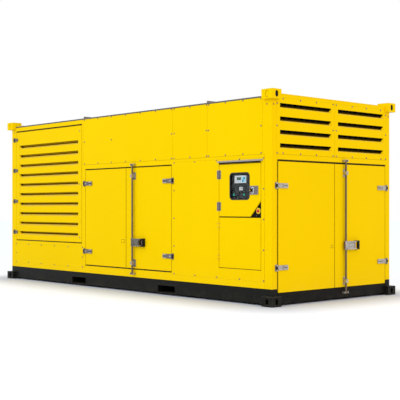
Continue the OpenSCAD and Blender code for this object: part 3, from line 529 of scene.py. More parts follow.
# A dark brown rubber colour that is also a painted shade of the door gaps.
gap_shade_rubber = make_moulded("gap shade rubber", (40, 30, 8), 0.62, 320.0, 0.3, specular=0.1)
baffle_paint = make_moulded("baffle paint", (190, 152, 20), 0.8, 90.0, 0.3, specular=0.05)
foam_black = make_moulded("acoustic foam", (30, 30, 28), 0.9, 90.0, 1.0, specular=0.1, drift=0.3)
panel_plastic = make_moulded("panel plastic", (46, 48, 48), 0.5, 600.0, 0.25, specular=0.3)
plate_black = make_moulded("plate black", (16, 14, 15), 0.6, 600.0, 0.2, specular=0.1)
knob_plastic = make_moulded("knob plastic", (16, 16, 15), 0.5, 600.0, 0.2, specular=0.2)
stop_red = make_moulded("stop red", (214, 24, 30), 0.32, drift=0.05)
ring_yellow = make_moulded("ring yellow", (250, 214, 20), 0.35, drift=0.05)
button_teal = make_moulded("button teal", (12, 158, 140), 0.35, drift=0.06)
button_grey = make_moulded("button grey", (96, 98, 104))
pad_white = make_moulded("pad white", (206, 208, 210), grain=300.0, drift=0.05)
display_white = make_moulded("display surround", (226, 230, 234), 0.3, 300.0, 0.05, drift=0.04)
print("thirteen moulded finishes")

# %% [markdown]
# The inner door liners are perforated galvanised sheet over black foam. The holes are far too
# small to model one by one, so a fine grid pattern darkens them and dips the surface.

# %% Perforated liner
HOLES_PER_METRE = 110.0
liner_sheet, tree, shader = start_material("perforated liner", metallic=0.35)
holes = add(tree, "ShaderNodeTexVoronoi",
            {"Vector": spot(tree), "Scale": HOLES_PER_METRE, "Randomness": 0.0})
hole = ramp(tree, holes.outputs["Distance"], 0.34, 0.26)
zinc = place(tree, ZINC, Bright=colour(128, 126, 122), Dull=colour(86, 84, 82),
             Flakes_per_metre=70.0, Smooth=0.4, Rough=0.6)
skin = blend_colour(tree, hole, zinc.outputs["Colour"], FOAM_AND_SHADE)
cover(tree, shader, skin, zinc.outputs["Roughness"])
bump(tree, shader, maths(tree, "SUBTRACT", 1.0, hole), 0.5, 1.0 * MM)
print("holes", round(1000 / HOLES_PER_METRE, 1), "mm apart")

# %% [markdown]
# The window in the control door is a clear pane in a rubber edging. A thick block of glass
# bends the view behind it, so the refraction is set low, as through a thin flat pane. Glass
# keeps a plain transmission, and only its roughness varies, where fine dust has settled.

# %% Window glass
window_glass, tree, shader = start_material("window glass")
shader.inputs["Transmission Weight"].default_value = 1.0
shader.inputs["IOR"].default_value = 1.1
tint = place(tree, DRIFT, Colour=(0.93, 0.95, 0.95, 1), Strength=0.05, Scale=3.0)
dust = place(tree, DUST, On_top=0.3, Near_ground=0.0, Splash_height=0.4)
cover(tree, shader, tint.outputs["Colour"], maths(tree, "MULTIPLY", dust.outputs["Mask"], 0.3))
print("glass", window_glass.name)

# %% [markdown]
# The CAD parts keep their shapes, and the record names a finish for each. A few parts of one
# finish differ on the real object, as the greyer fittings of the service side do, so a second
# list, sorted by finish, names those parts.

# %% Finishes of the CAD parts
SLOT_FINISH = {
    "body_paint": body_paint, "base_paint": base_paint, "floor_steel": floor_steel,
    "roof_sheet": roof_sheet, "panel_plastic": panel_plastic, "display": display_white,
    "buttons": button_teal, "stop_red": stop_red, "window": window_glass,
    "knob_plastic": knob_plastic, "hinge_steel": hinge_steel, "catch_paint": catch_paint,
}
PARTS_OF_FINISH = (
    (frame_paint, ("corner_posts", "waist_rails", "front_sill", "castings_top", "end_headers",
                   "louvre_rails")),
    (leaf_paint, ("side_door_left", "side_door_right", "end_door_left", "end_door_right",
                  "front_mullions", "end_jambs")),
    (side_louvre_paint, ("louvre_door", "rear_louvre")),
    (end_louvre_paint, ("end_louvres", "far_end_wall")),
    (shaded_service_steel, ("side_hinge_brackets", "louvre_straps", "side_left_straps",
                     "side_right_fittings", "control_fittings")),
    (rod_steel, ("side_rod", "end_rod")),
    (beam_shade_paint, ("base_beams",)), (shaded_handle_steel, ("side_handle",)),
    (gutter_paint, ("rain_gutter",)), (plate_black, ("stop_plate",)),
)
OWN_FINISH = {name: finish for finish, names in PARTS_OF_FINISH for name in names}
EDGE_ROUND = {"castings_top": 6, "castings_bottom": 6, "base_rails": 4, "base_beams": 4,
              "corner_posts": 4, "stop_button": 0.8, "control_knob": 1.2}
USUAL_ROUND = 1.5
print(len(OWN_FINISH), "parts with a finish of their own")

# %% [markdown]
# The CAD meshes meet at sharp corners, which no folded or cast part has. Their edges could be
# rounded in the meshes, but these are not to be changed, so two modifiers do it: a weld joins
# the split corners and a small bevel rounds every edge, with a radius for each kind of part.

# %% Dress the CAD parts
def round_edges(piece, radius):
    """Welds split corners and bevels every edge sharper than 30 degrees."""
    weld = piece.modifiers.new("weld", "WELD")
    weld.merge_threshold = 0.01 * MM
    bevel = piece.modifiers.new("round", "BEVEL")
    bevel.width = radius
    bevel.segments = 2
    bevel.limit_method = "ANGLE"
    bevel.angle_limit = math.radians(30)
    bevel.harden_normals = True


def dress(piece, material):
    """Shows a piece in one material without changing its mesh data."""
    if not piece.material_slots:
        piece.data.materials.append(None)
    for place_in_mesh in piece.material_slots:
        place_in_mesh.link = "OBJECT"
        place_in_mesh.material = material


for part in frame["record"]["subparts"]:
    name = part["node"]
    dress(nodes[name], OWN_FINISH.get(name) or SLOT_FINISH[part["material_slot"]])
    round_edges(nodes[name], EDGE_ROUND.get(name, USUAL_ROUND) * MM)
print("dressed", len(nodes), "CAD parts")

# %% [markdown]
# The floor is a wide plain disc. Camera, mirror-like and transmitted rays see a little light of
# its own added to it, which brings its lit parts up to white. The added light is left out at the
# foot of the enclosure and grows with the distance from it, so the floor round the foot stays
# darker: a painted shadow added to the real one.

# %% Floor
FLOOR_RADIUS, FLOOR_GLOW = 70, 0.36


def distance_from_foot(tree):
    """Distance over the floor from the rectangle that the enclosure stands on, in metres."""
    place_on_floor = add(tree, "ShaderNodeNewGeometry").outputs["Position"]
    axes = add(tree, "ShaderNodeSeparateXYZ", {0: place_on_floor}).outputs
    squares = []
    for axis, half in ((axes[0], HALF_X), (axes[1], HALF_Y)):
        past = maths(tree, "SUBTRACT", maths(tree, "ABSOLUTE", axis), half)
        beyond = maths(tree, "MAXIMUM", past, 0)
        squares.append(maths(tree, "MULTIPLY", beyond, beyond))
    return maths(tree, "SQRT", maths(tree, "ADD", *squares))


floor_material = bpy.data.materials.new("studio floor")
floor_material.use_nodes = True
tree = floor_material.node_tree
tree.nodes.clear()
matt = add(tree, "ShaderNodeBsdfDiffuse", {"Color": (0.66, 0.71, 0.80, 1)})
# Less added light near the foot: a painted shadow round the enclosure.
glow_past_painted_shadow = add(tree, "ShaderNodeMapRange",
             {"Value": distance_from_foot(tree), "From Min": 0.05, "From Max": 1.0,
              "To Max": FLOOR_GLOW}, interpolation_type="SMOOTHSTEP").outputs["Result"]
strength = maths(tree, "MULTIPLY", seen_directly(tree), glow_past_painted_shadow)
glow = add(tree, "ShaderNodeEmission", {"Color": WHITE, "Strength": strength})
both = add(tree, "ShaderNodeAddShader", {0: matt.outputs[0], 1: glow.outputs[0]})
add(tree, "ShaderNodeOutputMaterial", {"Surface": both.outputs[0]})
floor_mesh = bpy.data.meshes.new("studio_floor")
floor_shape = bmesh.new()
bmesh.ops.create_circle(floor_shape, cap_ends=True, radius=FLOOR_RADIUS, segments=64)
floor_shape.to_mesh(floor_mesh)
floor_shape.free()
floor_mesh.materials.append(floor_material)
studio_floor = bpy.data.objects.new("studio_floor", floor_mesh)
scene.collection.objects.link(studio_floor)
print("floor", 2 * FLOOR_RADIUS, "m across")

# %% [markdown]
# Every added piece is drawn flat, in millimetres: u runs to the right along a wall, v runs up,
# and w comes out of it. A placement matrix then stands the drawing on its wall and brings it to
# metres. The pieces could be drawn in world axes instead, but then each wall would need its own
# drawing of a bolt; this way one drawing serves all four walls and the roof.

# %% Placements
def stand(origin, right, out):
    """Placement of a drawing: u along right, v along out x right, w along out."""
    right, out = Vector(right), Vector(out)
    up = out.cross(right)
    axes = Matrix((right, up, out)).transposed().to_4x4()
    return Matrix.Translation(origin) @ axes @ Matrix.Scale(MM, 4)


def on_service(x, z, proud=0.0):
    return stand((x, -HALF_Y - proud, z), (1, 0, 0), (0, -1, 0))


def on_rear(x, z, proud=0.0):
    return stand((x, HALF_Y + proud, z), (-1, 0, 0), (0, 1, 0))


def on_end(y, z, proud=0.0):
    return stand((HALF_X + proud, y, z), (0, 1, 0), (1, 0, 0))


def on_far_end(y, z, proud=0.0):
    return stand((-HALF_X - proud, y, z), (0, -1, 0), (-1, 0, 0))


def facing_up(x, y, z):
    return stand((x, y, z), (1, 0, 0), (0, 0, 1))


def beside(at, u, v, w=0):
    """The same placement moved by drawn lengths."""
    return at @ Matrix.Translation((u, v, w))


print("service wall at y", round(on_service(0, 0).translation.y, 3))

# %% [markdown]
# Most pieces start from one of two flat outlines: a plain rectangle, or an oblong with rounded
# corners, since pressed and cast parts have no sharp ones.

# %% Outlines
def oblong(width, height, radius, centre=(0, 0), steps=4):
    """Outline of a rectangle with rounded corners."""
    points = []
    for turn, (sx, sy) in enumerate(((1, 1), (-1, 1), (-1, -1), (1, -1))):
        cx = centre[0] + sx * (width / 2 - radius)
        cy = centre[1] + sy * (height / 2 - radius)
        for k in range(steps + 1):
            angle = math.radians(90 * (turn + k / steps))
            points.append((cx + radius * math.cos(angle), cy + radius * math.sin(angle)))
    return points


def slab(u0, v0, u1, v1):
    """Outline of a plain rectangle between two corners."""
    return [(u0, v0), (u1, v0), (u1, v1), (u0, v1)]


print("an oblong has", len(oblong(20, 10, 2)), "points")

# %% [markdown]
# A few helpers turn outlines into solids: a prism for plates and bars, a rim for flat frames, a
# lathe for anything turned and a bead for round bars. Blender's own cube and cylinder could be
# scaled to such shapes, but an outline drawn in mesh code keeps true radii and closed ends.

# %% Solids from outlines
def draw_loop(shape, at, points):
    """New vertices at the drawing points (u, v, w)."""
    return [shape.verts.new(at @ Vector(point)) for point in points]


def lift(outline, w):
    """The points of a flat outline at one height."""
    return [(u, v, w) for u, v in outline]


def join_loops(shape, a, b, smooth=False):
    """A closed band of faces between two loops with as many vertices each."""
    for i in range(len(a)):
        j = (i + 1) % len(a)
        shape.faces.new((a[i], a[j], b[j], b[i])).smooth = smooth


def raised(shape, at, foot, crest, low, high, smooth=False):
    """A closed solid from one outline at w = low to another at w = high."""
    bottom, top = draw_loop(shape, at, lift(foot, low)), draw_loop(shape, at, lift(crest, high))
    shape.faces.new(bottom[::-1])
    shape.faces.new(top)
    join_loops(shape, bottom, top, smooth)


def prism(shape, at, outline, low, high):
    """Extrudes a closed outline of (u, v) points, counter-clockwise, from w = low to high."""
    raised(shape, at, outline, outline, low, high)


def rim(shape, at, outer, inner, low, high):
    """A flat frame between two outlines with as many points each."""
    loops = [draw_loop(shape, at, lift(line, w))
             for line, w in ((outer, low), (outer, high), (inner, high), (inner, low))]
    for a, b in zip(loops, loops[1:] + loops[:1]):
        join_loops(shape, a, b)


print("a corner lifted:", lift([(20, 10)], 5))

# %% [markdown]
# Turned parts, such as bolt heads, are drawn as half their section, and round bars as two
# circles. A lathe is the shortest way to any chamfered or domed head.

# %% Turned and round solids
def circle(radius, w, steps):
    """Points of a circle round the w axis."""
    return [(radius * math.cos(math.tau * i / steps), radius * math.sin(math.tau * i / steps), w)
            for i in range(steps)]


def lathe(shape, at, profile, steps=20):
    """Turns a profile of (radius, w) points round the w axis; the profile runs outside first."""
    rings = [draw_loop(shape, at, circle(radius, w, steps) if radius else [(0, 0, w)])
             for radius, w in profile]
    for a, b in zip(rings, rings[1:]):
        for i in range(steps):
            j = (i + 1) % steps
            corners = [a[i % len(a)], a[j % len(a)], b[j % len(b)], b[i % len(b)]]
            corners = list(dict.fromkeys(corners))
            if len(corners) > 2:
                shape.faces.new(corners).smooth = True


def ring_of(shape, at, profile, steps=28):
    """Turns a closed profile of (radius, w) points into a ring."""
    rings = [draw_loop(shape, at, circle(radius, w, steps)) for radius, w in profile]
    for a, b in zip(rings, rings[1:] + rings[:1]):
        join_loops(shape, a, b, smooth=True)


def bead(shape, at, start, end, radius, steps=6):
    """A round bar between two drawing points, closed at both ends."""
    a, b = at @ Vector(start), at @ Vector(end)
    along = (b - a).normalized()
    side = along.orthogonal().normalized()
    across = along.cross(side)
    first, last = [
        [shape.verts.new(centre + radius * MM * (math.cos(math.tau * i / steps) * side
                                                 + math.sin(math.tau * i / steps) * across))
         for i in range(steps)] for centre in (a, b)]
    join_loops(shape, first, last, smooth=True)
    shape.faces.new(first[::-1])
    shape.faces.new(last)


print("a circle of six points:", len(circle(1, 0, 6)))

# %% [markdown]
# The drawn parts could be children of the CAD parts, but riding keeps the pose files in
# charge.

# %% Finish a drawn piece
def finish_piece(name, shape, material, body="enclosure", edge=0.0):
    """Makes the drawn shape an object in one material that rides on a CAD body."""
    mesh = bpy.data.meshes.new(name)
    shape.to_mesh(mesh)
    shape.free()
    mesh.materials.append(material)
    piece = bpy.data.objects.new(name, mesh)
    scene.collection.objects.link(piece)
    if edge:
        round_edges(piece, edge * MM)
    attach(piece, body)
    return piece


print("pieces are linked to", scene.collection.name)

# %% [markdown]
# A panel bolt is a hexagon flange head: a thin round flange pressed on the sheet and a six-sided
# head with a chamfered crown. Drawing it once keeps every head the same true size, and a random
# turn for each head, with a fixed seed, makes the rows look fitted by hand.

# %% One flange bolt and one button screw
dice = random.Random(20)
FLANGE_T, CROWN = 1.2, 0.82


def flange_bolt(shape, at, across=13.0, flange=10.0, height=7.0):
    """A hexagon head on a flange; across is its width over the flats."""
    turned = at @ Matrix.Rotation(dice.uniform(0, math.tau), 4, "Z")
    lathe(shape, turned, [(flange, 0), (flange, FLANGE_T), (across * 0.6, 2.4)], steps=16)
    hexagon = circle(across / math.sqrt(3), 0, 6)
    loops = [draw_loop(shape, turned, [(share * u, share * v, w) for u, v, _ in hexagon])
             for share, w in ((1, FLANGE_T), (1, height - 1.2), (CROWN, height))]
    for a, b in zip(loops, loops[1:]):
        join_loops(shape, a, b)
    shape.faces.new(loops[-1])


def button_screw(shape, at, radius, height):
    """A low round head with a socket in its crown."""
    turned = at @ Matrix.Rotation(dice.uniform(0, math.tau), 4, "Z")
    lathe(shape, turned,
          [(radius, 0), (radius, height * 0.35), (radius * 0.82, height * 0.8),
           (radius * 0.45, height), (radius * 0.4, height * 0.5), (0, height * 0.5)], steps=12)


print("a bolt's crown is", CROWN, "of its width")

# %% [markdown]
# The upper panels, the wall bay and the skirt panel hang on bolts round their rims. Each row is
# spaced evenly between its corner bolts, so the places come from the panel's own box. The plain
# far side repeats the same rows.

# %% Places of the panel bolts
BAY_TOP = 1.774


def rim_places(u0, u1, v0, v1, columns, rows):
    """Evenly spaced places round the rim of a rectangle, without repeats."""
    places = set()
    for i in range(columns):
        u = u0 + (u1 - u0) * i / (columns - 1)
        places |= {(u, v0), (u, v1)}
    for k in range(rows):
        v = v0 + (v1 - v0) * k / (rows - 1)
        places |= {(u0, v), (u1, v)}
    return sorted(places)


def edges(name):
    """Left, right, bottom and top of a service-side node, in metres."""
    low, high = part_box(name)
    return low.x, high.x, low.z, high.z


def bolts_on_panel(name, insets, columns, rows):
    """Bolt places on a panel; insets from its left, right, bottom and top are in mm."""
    left, right, bottom, top = (edge + way * inset * MM for edge, way, inset
                                in zip(edges(name), (1, -1, 1, -1), insets))
    return rim_places(left, right, bottom, top, columns, rows)


upper_left = bolts_on_panel("front_upper_left", (25, 20, 16, 11), columns=7, rows=3)
upper_mid = bolts_on_panel("front_upper_mid", (33, 14, 18, 11), columns=3, rows=3)
upper_right = bolts_on_panel("front_upper_right", (24, 23, 17, 12), columns=4, rows=3)
skirt = bolts_on_panel("front_skirt_panel", (16, 16, 14, 14), columns=6, rows=3)
mid_height = sum(edges("front_upper_left")[2:]) / 2
upper_third = upper_left[0][0] + (upper_left[-1][0] - upper_left[0][0]) / 3
upper_left.append((upper_third, mid_height))
bay_left, bay_right = edges("front_wall")[0] + 18 * MM, edges("front_wall_strip")[1] - 13 * MM
bay = rim_places(bay_left, bay_right, edges("front_wall")[2] + 14 * MM, BAY_TOP, 5, 5)
service_bolts = upper_left + upper_mid + upper_right + skirt + bay
print(len(service_bolts), "bolts on each long side")

# %% [markdown]
# The louvre panels of both ends are bolted along their top and bottom edges, beside the seam
# between them and down their outer edges. All bolts of one wall are drawn into one mesh: an
# object for each of them would be easier to move, but they never move on their own.

# %% Panel bolts
SEAM_BOLT, POST_BOLT = 0.032, 1.073
end_low, end_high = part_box("end_louvres")
top_row, bottom_row = end_high.z - 16 * MM, end_low.z + 14 * MM
middle_row = (top_row + bottom_row) / 2
end_bolts = []
for side in (-1, 1):
    for y in (SEAM_BOLT, 0.355, 0.652, 0.966):
        end_bolts += [(side * y, bottom_row), (side * y, top_row)]
    end_bolts += [(side * SEAM_BOLT, middle_row), (side * POST_BOLT, middle_row),
                  (side * POST_BOLT, bottom_row)]

for name, wall, places in (("service", on_service, service_bolts), ("rear", on_rear, service_bolts),
                           ("end", on_end, end_bolts), ("far_end", on_far_end, end_bolts)):
    shape = bmesh.new()
    for along, z in places:
        flange_bolt(shape, wall(along, z))
    finish_piece("panel_bolts_" + name, shape, bolt_steel)
print(len(end_bolts), "bolts on each end")

# %% [markdown]
# Behind the painted skin the enclosure is lined with acoustic foam, held by flat strips on
# studs. One box for each wall would do from outside, but through an open door the joints between
# the pads and their cushioned edges show, so each wall area is divided into equal pads. Each
# lies against the inner face of its wall and leaves the door openings free.

# %% Foam pads
WALL_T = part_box("side_door_left")[1].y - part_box("side_door_left")[0].y
ROOM_X, ROOM_Y = HALF_X - WALL_T, HALF_Y - WALL_T
FLOOR_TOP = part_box("floor")[1].z
ROOF_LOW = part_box("roof_sheets")[0].z
FOAM_T, PAD_WIDEST, PAD_GAP = 30.0, 900.0, 6.0


def lining(shape, at, u0, v0, u1, v1, thick=FOAM_T):
    """A foam pad with a cushioned edge; w runs into the room."""
    inset = min(14.0, thick * 0.5)
    outer, inner = slab(u0, v0, u1, v1), slab(u0 + inset, v0 + inset, u1 - inset, v1 - inset)
    loops = [draw_loop(shape, at, lift(line, w))
             for line, w in ((outer, 0), (outer, thick - inset), (inner, thick))]
    shape.faces.new(loops[0][::-1])
    for a, b in zip(loops, loops[1:]):
        join_loops(shape, a, b)
    shape.faces.new(loops[2])


def pads_between(shape, at, u0, v0, u1, v1):
    """Divides a wall area into equal foam pads side by side."""
    count = max(1, math.ceil((u1 - u0) / PAD_WIDEST))
    step = (u1 - u0) / count
    for i in range(count):
        lining(shape, at, u0 + i * step + PAD_GAP / 2, v0, u0 + (i + 1) * step - PAD_GAP / 2, v1)


print("room", round(2 * ROOM_X, 3), "x", round(2 * ROOM_Y, 3), "m, foam", FOAM_T, "mm")

# %% [markdown]
# The walls are seen from inside here, so a placement on their inner faces has u running the
# other way round the room. On the service side the pads fill only the areas without a door.

# %% Linings of the fixed walls
inside_service = stand((0, -ROOM_Y, 0), (-1, 0, 0), (0, 1, 0))
inside_rear = stand((0, ROOM_Y, 0), (1, 0, 0), (0, -1, 0))
inside_end = stand((ROOM_X, 0, 0), (0, -1, 0), (-1, 0, 0))
inside_far_end = stand((-ROOM_X, 0, 0), (0, 1, 0), (1, 0, 0))
under_roof = stand((0, 0, ROOF_LOW), (1, 0, 0), (0, 0, -1))
foot, head = FLOOR_TOP / MM + 12, ROOF_LOW / MM - 45
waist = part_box("waist_rails")[0].z / MM
span_x, span_y = ROOM_X / MM - 130, ROOM_Y / MM - 60
rear_low, rear_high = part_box("rear_louvre")
skirt_low, skirt_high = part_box("front_skirt_panel")
wall_low, wall_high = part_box("front_wall")
upper_low_x, upper_high_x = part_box("front_upper_left")[0].x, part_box("front_upper_right")[1].x

shape = bmesh.new()
for at, u0, v0, u1, v1 in (
        (under_roof, -span_x, -span_y, span_x, span_y),
        (inside_rear, rear_high.x / MM + 20, foot, span_x, waist + 90),
        (inside_rear, rear_high.x / MM + 20, waist + 100, span_x, head),
        (inside_rear, rear_low.x / MM, foot, rear_high.x / MM, rear_low.z / MM - 20),
        (inside_far_end, -span_y, foot, span_y, waist + 60),
        (inside_service, -skirt_high.x / MM, foot, -skirt_low.x / MM, skirt_high.z / MM - 10),
        (inside_service, -upper_high_x / MM + 20, waist + 90, -upper_low_x / MM - 20, head),
        (inside_service, -wall_high.x / MM + 40, foot + 100, -wall_low.x / MM - 40, waist - 20)):
    pads_between(shape, at, u0, v0, u1, v1)
finish_piece("foam_linings", shape, foam_black)
print("eight wall and roof areas lined")

# %% [markdown]
# Behind every louvre stands a splitter: a row of dark baffles that lets air through and stops
# sound and daylight. A plain black plate would look alike from outside, but it could not be
# looked into. The fixed ones belong to the enclosure and are shut at both sides by cheeks. The
# one behind the louvred door is bolted to the door and swings out with it, so it stays inside
# the door's own outline; a thin screen closes its front, right behind the slots.

# %% Louvre splitters
SPLITTER_DEPTH, BAFFLE_PITCH, BAFFLE_SHARE, BAFFLE_GAP, CHEEK_T = 70.0, 110.0, 0.45, 8.0, 3.0


def splitter(shape, at, u0, v0, u1, v1):
    """Upright baffles in front of a closed dark back."""
    count = int((u1 - u0) // BAFFLE_PITCH)
    step = (u1 - u0) / count
    for i in range(count):
        left = u0 + i * step
        prism(shape, at, slab(left, v0, left + step * BAFFLE_SHARE, v1), BAFFLE_GAP,
              SPLITTER_DEPTH - 4)
    prism(shape, at, slab(u0 - 4, v0 - 4, u1 + 4, v1 + 4), SPLITTER_DEPTH - 3.5, SPLITTER_DEPTH)


def cased_splitter(shape, at, u0, v0, u1, v1):
    """A fixed splitter, shut at both sides by cheeks that reach the wall."""
    splitter(shape, at, u0, v0, u1, v1)
    for u in (u0 - 5 - CHEEK_T, u1 + 5):
        prism(shape, at, slab(u, v0 - 4, u + CHEEK_T, v1 + 4), 1.0, SPLITTER_DEPTH)


louvre_low, louvre_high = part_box("louvre_door")
u0, u1 = -louvre_high.x / MM + 70, -louvre_low.x / MM - 78
v0, v1 = louvre_low.z / MM + 60, louvre_high.z / MM - 60
shape = bmesh.new()
splitter(shape, inside_service, u0, v0, u1, v1)
prism(shape, inside_service, slab(u0 - 8, v0 - 8, u1 + 8, v1 + 8), 1.0, 2.2)
finish_piece("louvre_door_splitter", shape, baffle_paint, "louvre_door")

shape = bmesh.new()
cased_splitter(shape, inside_rear, rear_low.x / MM + 70, rear_low.z / MM + 60,
               rear_high.x / MM - 70, rear_high.z / MM - 60)
for at in (inside_end, inside_far_end):
    for u0, u1 in ((-1030.0, -40.0), (40.0, 1030.0)):
        cased_splitter(shape, at, u0, end_low.z / MM + 40, u1, end_high.z / MM - 60)
finish_piece("fixed_splitters", shape, foam_black)
print("splitters behind 6 louvres")

# %% [markdown]
# A rubber strip is pressed on the edge of the frame above and below each pair of doors, where
# rain would run in, and stands beside the door end's near leaf. Its dark brown is partly the
# rubber and partly a painted shade of the gap. A strip in the same painted shade lies under the
# gutter over the control door, for the shadow there. With the running gap beside them they make
# the dark line that frames the doors. A gap alone would do for a line, but from the side it
# closes up, and the strips stand out a little, as the real ones do.

# %% Strips on the door frames
SIDE_STRIP, END_STRIP, LOUVRE_TOP_STRIP, LOUVRE_LOW_STRIP = 6.0, 8.0, 14.0, 8.0
STRIP_PROUD = 2.2
door_l, door_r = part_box("side_door_left"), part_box("side_door_right")
end_l, end_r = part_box("end_door_left"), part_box("end_door_right")
waist_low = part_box("waist_rails")[0].z
GAP = waist_low - door_l[1].z


def door_strip(shape, at, length, height, upwards=1):
    """Lays the strip along u from 0 to length, rising or falling from the opening's edge."""
    section = [(0, 0), (height, 0), (height, STRIP_PROUD * 0.5), (height - 1.5, STRIP_PROUD),
               (1.5, STRIP_PROUD), (0, STRIP_PROUD * 0.6)]
    ends = [draw_loop(shape, at, [(u, upwards * v, w) for v, w in section]) for u in (0.0, length)]
    first, last = ends[::upwards]
    shape.faces.new(first)
    shape.faces.new(last[::-1])
    join_loops(shape, last, first)


shape = bmesh.new()
for wall, start, end, z, height, upwards in (
        (on_service, door_l[0].x, door_r[1].x, waist_low, SIDE_STRIP, 1),
        (on_service, door_l[0].x, door_r[1].x, door_l[0].z - GAP, SIDE_STRIP, -1),
        (on_end, end_l[0].y, end_r[1].y, waist_low, END_STRIP, 1),
        (on_service, louvre_low.x, louvre_high.x, louvre_high.z + GAP, LOUVRE_TOP_STRIP, 1),
        (on_service, louvre_low.x, louvre_high.x, louvre_low.z - GAP, LOUVRE_LOW_STRIP, -1)):
    door_strip(shape, wall(start - GAP, z), (end - start + 2 * GAP) / MM, height, upwards)
# Beside the near leaf the strip is a painted shade of the gap.
near = (end_l[0].y - GAP) / MM
prism(shape, on_end(0, 0), slab(near - 6, end_l[0].z / MM + 52, near - 1, end_l[1].z / MM), 0, 1.5)
hatch_low, hatch_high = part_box("control_door")
gutter_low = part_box("rain_gutter")[0].z
# Under the gutter the strip is a painted shadow.
prism(shape, on_service(0, 0), slab(hatch_low.x / MM, hatch_high.z / MM + 9,
                                    hatch_high.x / MM, gutter_low / MM - 1), 0, 6)
finish_piece("door_strips_and_gap_shade", shape, gap_shade_rubber)
print("running gap", round(GAP / MM, 1), "mm")

# %% [markdown]
# Each leaf has a thin rubber lip along its edges, whose dark colour is also a painted shade of
# the gap, to match the strips on the frame. The lips are pieces of their own, one for each leaf,
# because they swing with it.

# %% Lips on the leaves
LIP_PROUD, SIDE_LIP, END_LIP, NEAR_LIP = 1.2, 4.0, 7.0, 3.5


def leaf_lips(leaf, at, u0, v0, u1, v1, top, bottom=0.0, near=0.0):
    """Lips of the given heights along the top, bottom and first edge of a leaf, in painted gap
    shade.
    """
    lips = [slab(u0 + 1, v1 - top, u1 - 1, v1 - 0.5)]
    if bottom:
        lips.append(slab(u0 + 1, v0 + 0.5, u1 - 1, v0 + bottom))
    if near:
        lips.append(slab(u0 + 0.5, v0 + 1, u0 + near, v1 - top - 1))
    shape = bmesh.new()
    for lip in lips:
        prism(shape, at, lip, 0, LIP_PROUD)
    finish_piece(leaf + "_gap_shade_lips", shape, gap_shade_rubber, leaf)


for leaf, (low, high) in (("side_door_left", door_l), ("side_door_right", door_r)):
    leaf_lips(leaf, on_service(0, 0), low.x / MM, low.z / MM, high.x / MM, high.z / MM,
              top=SIDE_LIP, bottom=SIDE_LIP)
for leaf, (low, high), near in (("end_door_left", end_l, NEAR_LIP), ("end_door_right", end_r, 0)):
    leaf_lips(leaf, on_end(0, 0), low.y / MM, low.z / MM, high.y / MM, high.z / MM,
              top=END_LIP, near=near)
print("lips on four leaves")

# %% [markdown]
# Inside, a bulb seal runs round each opening just behind the closed leaf. It is a soft hollow
# rubber tube; solid round bars show the same once the doors are open.

# %% Bulb seals
SEAL_R, SEAL_BACK, SEAL_OUT = 7.0, 13.0, 2.0


def bulb_seal(shape, at, u0, v0, u1, v1):
    """Four round rubber runs just outside the rectangle of a leaf's rim."""
    corners = slab(u0 - SEAL_OUT, v0, u1 + SEAL_OUT, v1 + SEAL_OUT)
    for a, b in zip(corners, corners[1:] + corners[:1]):
        bead(shape, at, (*a, 0), (*b, 0), SEAL_R)


shape = bmesh.new()
at = stand((0, -ROOM_Y + SEAL_BACK * MM, 0), (1, 0, 0), (0, -1, 0))
for low, high in ((door_l[0], door_r[1]), (louvre_low, louvre_high)):
    bulb_seal(shape, at, low.x / MM, low.z / MM - SEAL_OUT, high.x / MM, high.z / MM)
at = stand((ROOM_X - SEAL_BACK * MM, 0, 0), (0, 1, 0), (1, 0, 0))
bulb_seal(shape, at, end_l[0].y / MM, end_l[0].z / MM + 60, end_r[1].y / MM, end_l[1].z / MM)
finish_piece("door_bulb_seals", shape, rubber)
print("three openings sealed")

# %% [markdown]
# The inner face of each leaf carries the same foam behind a perforated sheet with a folded rim,
# held by studs with round caps. It could be left bare, as it is seen only when a door stands
# open, but a door is there to be opened. The louvre door's liner covers the back of its splitter.

# %% Door liners
def door_liner(name, at, u0, v0, u1, v1, body):
    """Thin pad and perforated cover with its rim, and stud caps on a leaf's inner face."""
    shape = bmesh.new()
    lining(shape, at, u0, v0, u1, v1, thick=5.0)
    rim(shape, at, slab(u0 - 12, v0 - 12, u1 + 12, v1 + 12),
        slab(u0 + 10, v0 + 10, u1 - 10, v1 - 10), 0, 6.5)
    finish_piece(name, shape, liner_sheet, body, edge=0.8)
    shape = bmesh.new()
    for u, v in rim_places(u0, u1, v0, v1, columns=4, rows=5):
        button_screw(shape, beside(at, u, v, 6.0), radius=7.0, height=3.0)
    finish_piece(name + "_studs", shape, bolt_steel, body)


for side, (low, high) in (("left", door_l), ("right", door_r)):
    door_liner("side_" + side + "_liner", inside_service, -high.x / MM + 60, low.z / MM + 60,
               -low.x / MM - 60, high.z / MM - 60, "side_door_" + side)
for side, (low, high) in (("left", end_l), ("right", end_r)):
    door_liner("end_" + side + "_liner", inside_end, -high.y / MM + 60, low.z / MM + 75,
               -low.y / MM - 60, high.z / MM - 60, "end_door_" + side)
door_liner("louvre_door_liner", beside(inside_service, 0, 0, SPLITTER_DEPTH),
           -louvre_high.x / MM + 84, louvre_low.z / MM + 74,
           -louvre_low.x / MM - 92, louvre_high.z / MM - 74, "louvre_door")
print("five lined leaves")

# %% [markdown]
# A CAD part can hold several like solids, such as the two straps of one leaf. Their places could
# be typed in, but the helper walks from corner to corner along the edges and gives the box of
# each solid, so that the details find their own places.

